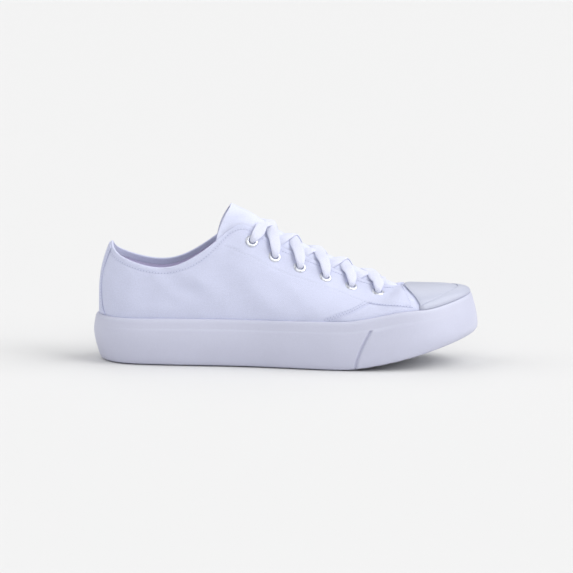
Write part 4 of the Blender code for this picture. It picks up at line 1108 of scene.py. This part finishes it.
def heel_strip():
    """The backstay over the heel seam, with a row of stitches inside each edge."""
    heights = np.linspace(0.004, 0.992, 70)
    reach = np.interp(heights, BACKSTAY_HEIGHTS, BACKSTAY_REACH)
    across = np.linspace(-1, 1, 40)
    station = ROWS + across[:, None] * reach[None, :]
    height = np.broadcast_to(heights[None, :], station.shape)
    groove = 0.0002 * soft(np.abs(across) - BACKSTAY_ROW, 0.06)[:, None]
    points = canvas(station, height, (BACKSTAY_FACE - groove)[..., None])
    for side in (-BACKSTAY_ROW, BACKSTAY_ROW):
        edge = smooth_curve(heights, np.column_stack([ROWS + side * reach, heights]))
        line = edge(np.linspace(0.02, 0.97, 120))
        facings = canvas_normal(line[:, 0], line[:, 1])
        stitch_run("heel", canvas_point(line[:, 0], line[:, 1]) + facings * 0.0009, facings, 0.0001)
    return sheet("heel_backstay", points, BACKSTAY_PLY, BACKSTAY_ROUNDING)


wear(toe_cap(), CAP_RUBBER_PAINTED_DARKER, "foxing_rubber", "toe_cap")
wear(toe_bumper(), CAP_RUBBER_PAINTED_DARKER, "foxing_rubber", "toe_bumper")
wear(heel_strip(), CANVAS_CLOTH, "canvas", "heel_strip")


# Sole

# The foxing's places from foot to top edge, and how far it is drawn in at its rounded foot and edge
FOXING_SHARES = np.array(
    [0.0, 0.0, 0.015, 0.04, 0.09, 0.16, 0.24, 0.32, 0.40, 0.48, 0.56, 0.64, 0.70]
    + [0.745, 0.765, 0.775, 0.785, 0.80, 0.85, 0.90, 0.94, 0.965, 0.985, 0.996, 1.0]
)
FOXING_TUCKED = np.array([0.0022, 0.0009, 0.0003, 0.0001] + [0.0] * 17 + [0.0002, 0.0004, 0.0008, 0.0014])

# The step below its top edge, and at its lap the groove and the edge that stands proud
STEP_AT, STEP_DEPTH = 0.755, 0.00022
LAP_GROOVE, LAP_GROOVE_WIDE, LAP_PROUD = 0.0016, 0.075, 0.0004


def foxing():
    """The rubber band: full below, stepped in under its top edge, with a groove where its ends are lapped."""
    shares = FOXING_SHARES
    stations = np.arange(0, ROUND, 0.075)
    for lap in (LAP_STATION, ROUND - LAP_STATION):
        stations = stations[np.abs(stations - lap) > 0.20]
        stations = np.append(stations, lap + np.linspace(-0.18, 0.18, 25))
    stations = np.append(np.sort(stations), ROUND)
    folded = from_toe(stations)
    plain = np.clip((folded - 4.5) / 3, 0, 1) * np.clip((20.5 - folded) / 2, 0, 1)
    step = STEP_DEPTH * np.clip((shares - STEP_AT) / 0.03, 0, 1)[None, :] * plain[:, None]
    at_cap = np.clip((BUMPER_END - folded) / 0.3, 0, 1)[:, None]
    tucked = FOXING_TUCKED[None, :] * (1 - 0.55 * at_cap * (shares > 0.5)[None, :])
    slant = soft(folded - LAP_STATION, LAP_SPREAD) * np.where(stations > ROWS, 1, -1)
    lean = LAP_LEAN / 2 - 0.74 * np.minimum(shares / 0.78, 1) ** 1.6
    grid = stations[:, None] - slant[:, None] * lean[None, :]
    below = np.clip((0.765 - shares) / 0.02, 0, 1)[None, :]
    ahead = np.clip((LAP_STATION - folded) / 0.03 + 0.5, 0, 1)[:, None]
    groove = LAP_GROOVE * soft(folded - LAP_STATION, LAP_GROOVE_WIDE)[:, None] * below
    proud = LAP_PROUD * ahead * np.exp(-np.clip(LAP_STATION - folded, 0, None) / 2.5)[:, None] * below
    inset = foxing_inset(grid, shares[None, :]) + tucked + step + groove - proud
    at = grid % ROUND
    plan = inset_point(at, inset)
    low = spring(plan[..., 0]) + EDGE_LIFT
    high = spring(OUTLINE(at)[..., 0]) + SIDE(at)[..., 0]
    outer = np.concatenate([plan, (low + (high - low) * shares[None, :])[..., None]], axis=-1)
    at = stations % ROUND
    band, tuck, lean, _, lift = np.moveaxis(SIDE(at), -1, 0)
    foot = inset_point(at, np.maximum(tuck, lean) + FOXING_WALL)
    wall = inset_point(at, lean + FOXING_WALL)
    top = spring(OUTLINE(at)[..., 0]) + band
    base = floor_height(wall[:, 0], lift)
    inner = [np.column_stack([wall, top + (base - top) * share]) for share in (0.0, 0.5, 1.0)]
    inner.append(np.column_stack([foot, spring(foot[:, 0]) + EDGE_LIFT]))
    points = np.concatenate([outer, np.stack(inner, axis=1), outer[:, :1]], axis=1)
    points[-1] = points[0]
    return sheet("foxing_band", points)


wear(foxing(), FOXING_RUBBER, "foxing_rubber", "foxing")

# The footbed's hollows under the heel and the ball: place, reach along and across, and depth
HOLLOWS = ((-0.108, 0.0, 0.026, 0.018, 0.0007), (0.045, 0.002, 0.030, 0.026, 0.0006))
FOOTBED_THICK, FOOTBED_ROUNDING, FOOTBED_RIM = 0.0032, 0.0008, 0.0009


def footbed():
    """The padded footbed, cupped at its rim and pressed a little under heel and ball."""
    stations = np.linspace(0, ROWS, 130)
    clear = FOXING_WALL + GAP + CANVAS + 2 * GAP
    one = inset_point(stations, SIDE(stations)[:, 2] + clear)
    two = inset_point((ROUND - stations) % ROUND, SIDE(ROUND - stations)[:, 2] + clear)
    shares = (1 - np.cos(np.linspace(0, math.pi, 46))) / 2
    plan = one[:, None] * (1 - shares[None, :, None]) + two[:, None] * shares[None, :, None]
    wide = np.clip(np.linalg.norm(one - two, axis=1) / 0.03, 0, 1)[:, None]
    rise = INSOLE_CUP * wide * (2 * shares[None, :] - 1) ** 2
    x, y = plan[..., 0], plan[..., 1]
    press = 0.0
    for middle_x, middle_y, reach_x, reach_y, depth in HOLLOWS:
        press = press + depth * soft(x - middle_x, reach_x) * soft(y - middle_y, reach_y)
    edge = FOOTBED_RIM * (1 - np.clip(np.minimum(shares, 1 - shares) / 0.02, 0, 1))[None, :] ** 2
    z = platform_height(x) + GAP + INSOLE + rise - press - edge
    points = np.concatenate([plan, z[..., None]], axis=-1)
    return sheet("footbed", points, FOOTBED_THICK, FOOTBED_ROUNDING, flip=False)


made = wear(footbed(), FOOTBED_CLOTH, "footbed", "insole")


# Tongue


# The tongue's stations: its front end under the vamp, then its run to the free end
TONGUE_LOW = (TONGUE_FRONT, 5.6, 5.9, 6.25)
TONGUE_RUN = np.linspace(6.6, 14.8, 110)

# Between the first strap and the vamp the tongue dips: the station, the depth and the reach
TONGUE_DIP_AT, TONGUE_DIP, TONGUE_DIP_REACH = 6.40, 0.0019, 0.42

# The tongue's two plies with their filling, its rounding, and how far its top corners are cut back
TONGUE_THICK, TONGUE_ROUNDING, TONGUE_CORNER = 0.0021, 0.0006, 0.0012


def tongue():
    """The tongue: a folded canvas strip that bends over the instep and stands free at its end."""
    shares = np.linspace(0, 1, 16)
    ridge = tongue_ridge()
    rows = [tongue_section(float(s), ridge(s), 0.0, shares) for s in TONGUE_RUN]
    count = rows[0].shape[0]
    for s in reversed(TONGUE_LOW):
        front = under_vamp(s, 0.0, 14)
        at, evenly = np.linspace(0, 1, len(front)), np.linspace(0, 1, count)
        rows.insert(0, np.column_stack([np.interp(evenly, at, front[:, i]) for i in range(3)]))
    points = np.array(rows)
    for _ in range(3):
        points[1:-1] = (points[:-2] + 2 * points[1:-1] + points[2:]) / 4
        points[:, 1:-1] = (points[:, :-2] + 2 * points[:, 1:-1] + points[:, 2:]) / 4
    passed = np.concatenate([TONGUE_LOW, TONGUE_RUN])[:, None]
    points[..., 2] -= TONGUE_DIP * soft(passed - TONGUE_DIP_AT, TONGUE_DIP_REACH)
    top = np.linspace(0, 1, len(points))[:, None]
    across = np.linspace(-1, 1, count)[None, :]
    corner = np.clip((np.abs(across) - 0.45) / 0.55, 0, 1) ** 2.2 * np.clip((top - 0.80) / 0.20, 0, 1) ** 1.5
    along = unit(np.gradient(points, axis=0))
    points = points + along * TONGUE_CORNER * corner[..., None]
    points[..., 0] -= 0.0010 * top**4
    points[..., 2] -= 0.0012 * top**4
    out = unit(np.cross(np.gradient(points, axis=1), along))
    out = out * np.sign(out[:, count // 2, 2].mean())
    # Painted shade on the tongue just inside the throat edges, where the quarters' edges shade it
    throat = np.linspace(8, 14.2, 160)
    edges = np.concatenate([canvas_point(throat, 1.0), canvas_point(ROUND - throat, 1.0)])
    painted_shade = soft(nearest(points, edges) - 0.0030, 0.0018)
    wave = 0.0004 * np.sin(points[..., 0] * 170 + 1.0) * np.sin(points[..., 1] * 150 + 0.6)
    points = points + out * (wave * np.clip((top - 0.72) / 0.1, 0, 1))[..., None]
    return sheet("tongue_canvas", points, TONGUE_THICK, TONGUE_ROUNDING, painted_shade, flip=False)


wear(tongue(), TONGUE_CLOTH_PAINTED_LIGHTER, "canvas", "tongue")


# Eyelets

# A ring's profile in millimetres: its distance from the axis, and its height outside the cloth
RING = (
    (2.20, -2.30), (2.20, -0.60), (2.22, 0.30), (2.34, 0.72), (2.62, 1.02), (3.05, 1.18), (3.60, 1.20),
    (4.15, 1.08), (4.60, 0.82), (4.90, 0.48), (5.00, 0.22), (4.93, 0.05), (4.60, 0.02), (3.60, 0.05),
    (2.95, 0.02), (2.72, -0.25), (2.70, -2.15), (2.95, -2.22), (4.00, -2.22), (4.28, -2.32), (4.30, -2.50),
    (4.10, -2.68), (3.40, -2.78), (2.70, -2.72), (2.32, -2.55),
)
RING_SINK = 0.0002


def eyelet(place, facing, name):
    """A rolled ring: a domed flange outside, its barrel through the cloth, and a splayed rim inside."""
    side = unit(np.cross((0.0, 0.0, 1.0), facing))
    ahead = np.cross(facing, side)
    angles = np.linspace(0, 2 * math.pi, 57)
    profile = np.array(RING + RING[:1]) / 1000
    ways = np.cos(angles)[:, None] * side + np.sin(angles)[:, None] * ahead
    raised = profile[None, :, 1:] + QUARTER_FACE - RING_SINK
    points = place + ways[:, None] * profile[None, :, :1] + facing * raised
    made = sheet(name.replace("eyelet", "ring"), points, flip=False)
    return wear(made, EYELET_METAL, "eyelet_metal", name)


for place, facing, name, _ in RINGS:
    eyelet(place, facing, name)


# Lace

UP = np.array([0.0, 0.0, 1.0])
LACE_STEP = 0.0009

# The lace comes out of an eyelet: its height over the cloth, its way towards the throat edge, how its face
# leans outwards and towards that edge, its width and its thickness
OUT_OF_EYELET = (
    (-0.0024, 0.0, 0.0, -1.0, 0.0034, 0.0020),
    (-0.0004, 0.0, 0.0, -1.0, 0.0037, 0.0022),
    (0.0014, 0.0004, 0.35, -1.0, 0.0046, 0.0024),
    (0.0027, 0.0018, 1.0, -0.6, 0.0058, 0.0024),
    (0.0034, 0.0041, 1.0, 0.0, 0.0072, 0.0021),
)

# Then it runs over the eyestay to the throat edge, and from there up the tongue: its share of that way, its
# share of the way along the shoe to the crossing, and its height
OVER_EYESTAY = ((0.70, 0.13, 0.0034), (1.0, 0.20, 0.0031))
UP_TONGUE = ((0.38, 0.40, 0.0026), (0.70, 0.68, 0.0012))

# The strap that lies on top at a crossing is lifted over the other one
OVER_LIFT = 0.0014
CROSSING_SINK = 0.0002
TONGUE_SINK = 0.0007

# Under the eyestay the lace is pressed flat and narrows into the eyelet
UNDER_EYESTAY, UNDER_EYELET = 0.00262, 0.0029
PRESSED, PRESSED_AT_EYELET = 0.0009, 0.0010
WIDTH_AT_EYELET = 0.0048

# How strongly a strap is drawn along the shoe, from the front pair's eyelets and to the top pair's
FRONT_LEAN, TOP_LEAN = 0.3, 1.9


def tube(points, facings, widths, thicknesses, around=28):
    """A flat braid along a smooth line: points for a grid closed round and drawn to a point at both ends."""
    lengths = lengths_along(points)
    values = np.column_stack([points, facings, widths, thicknesses])
    count = int(lengths[-1] / LACE_STEP)
    read = smooth_curve(lengths, values)(np.linspace(0, lengths[-1], count))
    from_end = np.minimum(np.arange(count), np.arange(count)[::-1])[:, None]
    taut = np.clip((from_end - 7) / 4, 0, 1)
    calm = read.copy()
    for _ in range(14):
        calm[1:-1] = (calm[:-2] + 2 * calm[1:-1] + calm[2:]) / 4
    read = read * (1 - taut) + calm * taut
    line, facing = read[:, :3], read[:, 3:6]
    wide, thick = read[:, 6:7], read[:, 7:8]
    ahead = unit(np.gradient(line, axis=0))
    across = unit(np.cross(facing, ahead))
    above = np.cross(ahead, across)
    angles = np.linspace(0, 2 * math.pi, around + 1)
    c, s = np.cos(angles), np.sin(angles)
    flat_x = np.sign(c) * np.abs(c) ** 0.75
    flat_z = np.sign(s) * np.abs(s) ** 0.70
    bow = 0.16 * (1 - flat_x**2)
    rows = line[:, None] + across[:, None] * (flat_x[None, :, None] * wide[:, None] / 2)
    rows = rows + above[:, None] * ((flat_z[None, :, None] / 2 + bow[None, :, None]) * thick[:, None])
    ends = [np.repeat(line[i : i + 1, None], around + 1, axis=1) for i in (0, -1)]
    return np.concatenate([ends[0], rows, ends[1]], axis=0)


def station_at(x, around, place):
    """The station near one whose place along the shoe is x."""
    near = np.linspace(around - 1.6, around + 1.6, 9)
    return float(np.interp(x, [place(s)[0] for s in near][::-1], near[::-1]))


def on_side(station, side):
    """A station on the same side of the shoe as another one."""
    return station if side < ROWS else ROUND - station


def through_hole(first, peak, side, lean):
    """The lace's line out of an eyelet and over the eyestay to the throat edge, drawn towards its crossing on
    the ridge: points with their facings, widths and thicknesses."""
    inset = eyelet_inset(first)

    def spot(station, share):
        beside = on_side(station, side)
        height = height_from_end(beside, inset * (1 - share) + 0.0001)
        return canvas_point(beside, height), canvas_normal(beside, height)

    centre, out = spot(first, 0.0)
    shift = peak[0] - centre[0]
    rows = []
    for share, drift, raised in OVER_EYESTAY:
        station = station_at(centre[0] + lean * drift * shift, first, lambda s: spot(s, share)[0])
        point, normal = spot(station, share)
        rows.append((point + normal * raised, normal, LACE_WIDE, LACE_THICK))
    toward = rows[-1][0] - centre
    toward = unit(toward - out * (toward @ out))
    path = []
    for height, way, outward, leaning, width, thickness in OUT_OF_EYELET:
        facing = out * outward + toward * leaning
        path.append((centre + out * height + toward * way, facing, width, thickness))
    return path + rows


def on_tongue(ridge, side, station, share, lift):
    point, facing = over_tongue(on_side(station, side), ridge(station), share, LACE_GAP - TONGUE_SINK + lift)
    return (point, facing, LACE_WIDE, LACE_THICK)


def beside_ridge(ridge, side, first, peak, lean, lift):
    """The lace's line over the tongue, from the throat edge nearly to its crossing on the ridge."""
    inset = eyelet_inset(first)
    start = canvas_point(on_side(first, side), height_from_end(on_side(first, side), inset))[0]
    rows = []
    for share, drift, raised in UP_TONGUE:
        raised = raised + lift * share
        drift = min(drift * (0.5 + 0.5 * lean), 0.95)

        def place(s):
            return on_tongue(ridge, side, s, share, raised)[0]

        station = station_at(start + drift * (peak[0] - start), first + 0.3, place)
        rows.append(on_tongue(ridge, side, station, share, raised))
    return rows


def under_edge(station):
    """The lace's line under the throat edge to beneath an eyelet and up into its hole."""
    inset = eyelet_inset(station)
    rows = []
    for distance in (0.0005, 0.5 * inset):
        h = height_from_end(station, distance)
        normal = canvas_normal(station, h)
        width = LACE_WIDE - 0.002 * distance / inset
        rows.append((canvas_point(station, h) - normal * UNDER_EYESTAY, normal, width, PRESSED))
    h = height_from_end(station, inset - 0.0014)
    normal = canvas_normal(station, h)
    place = canvas_point(station, h) - normal * UNDER_EYELET
    rows.append((place, normal, WIDTH_AT_EYELET, PRESSED_AT_EYELET))
    return rows


def crossing(start, end, over, lean, both_over):
    """A strap from one eyelet over the ridge to the next pair's far eyelet. It ends under the throat edge or,
    where both ends lie over it, in that eyelet too."""
    ridge = tongue_ridge()
    first, last = on_side(start, start), on_side(end, end)
    lift = OVER_LIFT if over else 0.0
    peak = ridge((first + last) / 2) + (LACE_GAP + LACE_THICK / 2 + lift - CROSSING_SINK) * UP
    rows = through_hole(first, peak, start, lean) + beside_ridge(ridge, start, first, peak, lean, lift)
    rows.append((peak, UP, LACE_WIDE, LACE_THICK))
    if both_over:
        rows += beside_ridge(ridge, end, last, peak, TOP_LEAN, lift)[::-1]
        return rows + through_hole(last, peak, end, TOP_LEAN)[::-1]
    for share, low in ((0.66, 0.0), (0.34, -0.0004)):
        blend = 1 - share / 2
        station = first * (1 - blend) + last * blend
        rows.append(on_tongue(ridge, end, station, share, low + lift * share * 0.5))
    return rows + under_edge(end)


def lace():
    """One flat lace: the front bar, then five crossings up to the top eyelets, where its ends stop inside."""
    places = {name: station for _, _, name, station in RINGS}
    ridge = tongue_ridge()
    straps = []
    front = places[f"eyelet_{EYELETS}_lateral"]
    back = places[f"eyelet_{EYELETS}_medial"]
    rows = under_edge(front)[::-1]
    for side, shares in ((front, (0.34, 0.66)), (back, (0.66, 0.34))):
        for share in shares:
            rows.append(on_tongue(ridge, side, front, share, 0.0))
        if side == front:
            rows.append((ridge(front) + LACE_GAP * UP, UP, LACE_WIDE, LACE_THICK))
    rows += under_edge(back)
    straps.append(rows)
    for i in range(EYELETS, 1, -1):
        for k, (one, other) in enumerate((("lateral", "medial"), ("medial", "lateral"))):
            ends = places[f"eyelet_{i}_{one}"], places[f"eyelet_{i - 1}_{other}"]
            lean = FRONT_LEAN if i == EYELETS else 1.0
            straps.append(crossing(*ends, k == i % 2, lean, i == 2))
    made, total = [], 0.0
    for n, rows in enumerate(straps):
        points, facings, widths, thicknesses = (np.array(column) for column in zip(*rows))
        grid = tube(points, unit(facings), widths, thicknesses)
        total += np.linalg.norm(np.diff(grid[1:-1].mean(axis=1), axis=0), axis=1).sum()
        made.append(sheet(f"strap_{n}", grid, flip=False))
    bpy.ops.object.select_all(action="DESELECT")
    for thing in made:
        thing.select_set(True)
    bpy.context.view_layer.objects.active = made[0]
    bpy.ops.object.join()
    made[0].name = "lace"
    print("lace length m", round(float(total), 3))
    return made[0]


wear(lace(), LACE_CLOTH, "lace_cotton", "lace_bar", *[f"lace_crossing_{i}" for i in range(1, EYELETS)])


# Thread, with dark spots of painted shade in the needle holes

for word in ("lateral", "medial", "heel"):
    sew(f"stitches_{word}", word, "thread", THREAD_MATERIAL, STITCH_LENGTH / 2, THREAD, 0.8 * THREAD)
    # Each needle hole is a dark spot of painted shade, where the hole's own shade falls
    hole = NEEDLE_HOLE, 0.8 * NEEDLE_HOLE, 0.4 * NEEDLE_HOLE
    sew(f"needle_hole_shade_{word}", word, "holes", HOLE_SHADE_MATERIAL, *hole)

# Outsole: the solid itself, in tread rubber
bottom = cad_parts["outsole"]
bottom.data.materials.clear()
bottom.data.materials.append(OUTSOLE_RUBBER)


# Floor, light and camera


bpy.ops.object.select_all(action="DESELECT")
bpy.ops.mesh.primitive_plane_add(size=60.0)
floor = bpy.context.object
floor.name = "floor"
floor.data.materials.append(PAPER)


def stand(thing, across, above, back, place):
    """Puts a lamp or the camera in the scene, turned to look against back, from a place."""
    turn = Matrix([[across[i], above[i], back[i]] for i in range(3)]).to_4x4()
    turn.translation = tuple(place)
    bpy.context.scene.collection.objects.link(thing)
    thing.matrix_world = turn


def sun(name, strength, angle, azimuth, elevation):
    """A wide soft source. azimuth turns from the camera's side towards the toe."""
    lamp = bpy.data.lights.new(name, "SUN")
    lamp.energy = strength
    lamp.angle = math.radians(angle)
    a, e = math.radians(azimuth), math.radians(elevation)
    back = np.array([math.sin(a) * math.cos(e), -math.cos(a) * math.cos(e), math.sin(e)])
    side = unit(np.cross(UP, back))
    stand(bpy.data.objects.new(name, lamp), side, np.cross(back, side), back, (0.0, 0.0, 0.0))


# Two broad lights stand off the toe and the heel, so the side between them is a little darker than the paper
sun("toe_light", 1.70, 60, 90, 45)
sun("heel_light", 0.85, 60, -90, 42)
sun("front_toe_light", 0.80, 40, 60, 30)
sun("front_light", 0.58, 40, 0, 30)
sun("back_light", 0.37, 40, 180, 40)
world = bpy.data.worlds.new("studio")
world.use_nodes = True
sky = world.node_tree.nodes["Background"]
sky.inputs["Color"].default_value = (1.0, 1.0, 1.0, 1.0)
sky.inputs["Strength"].default_value = 0.40
bpy.context.scene.world = world
bpy.context.scene.view_settings.view_transform = "Standard"
bpy.context.scene.view_settings.look = "None"

# The camera stands level with the photo's: side on, a little above, with a slight roll
VIEW_UP = math.radians(8.0)
VIEW_ROLL = math.radians(0.68)
VIEW_DISTANCE = 2.5
VIEW_MIDDLE = np.array([0.0, 0.0, 0.05])
IMAGE = 573
FOCAL = 3257.5
CENTRE_COLUMN, CENTRE_ROW = 286.4, 295.7

back = np.array([0.0, -math.cos(VIEW_UP), math.sin(VIEW_UP)])
right = np.array([1.0, 0.0, 0.0])
up = np.cross(back, right)
across = right * math.cos(VIEW_ROLL) + up * math.sin(VIEW_ROLL)
above = up * math.cos(VIEW_ROLL) - right * math.sin(VIEW_ROLL)
lens = bpy.data.cameras.new("camera")
lens.lens = FOCAL / IMAGE * lens.sensor_width
lens.shift_x = (IMAGE / 2 - CENTRE_COLUMN) / IMAGE
lens.shift_y = (CENTRE_ROW - IMAGE / 2) / IMAGE
lens.clip_end = 200.0
camera = bpy.data.objects.new("camera", lens)
stand(camera, across, above, back, VIEW_MIDDLE + back * VIEW_DISTANCE)
bpy.context.scene.camera = camera
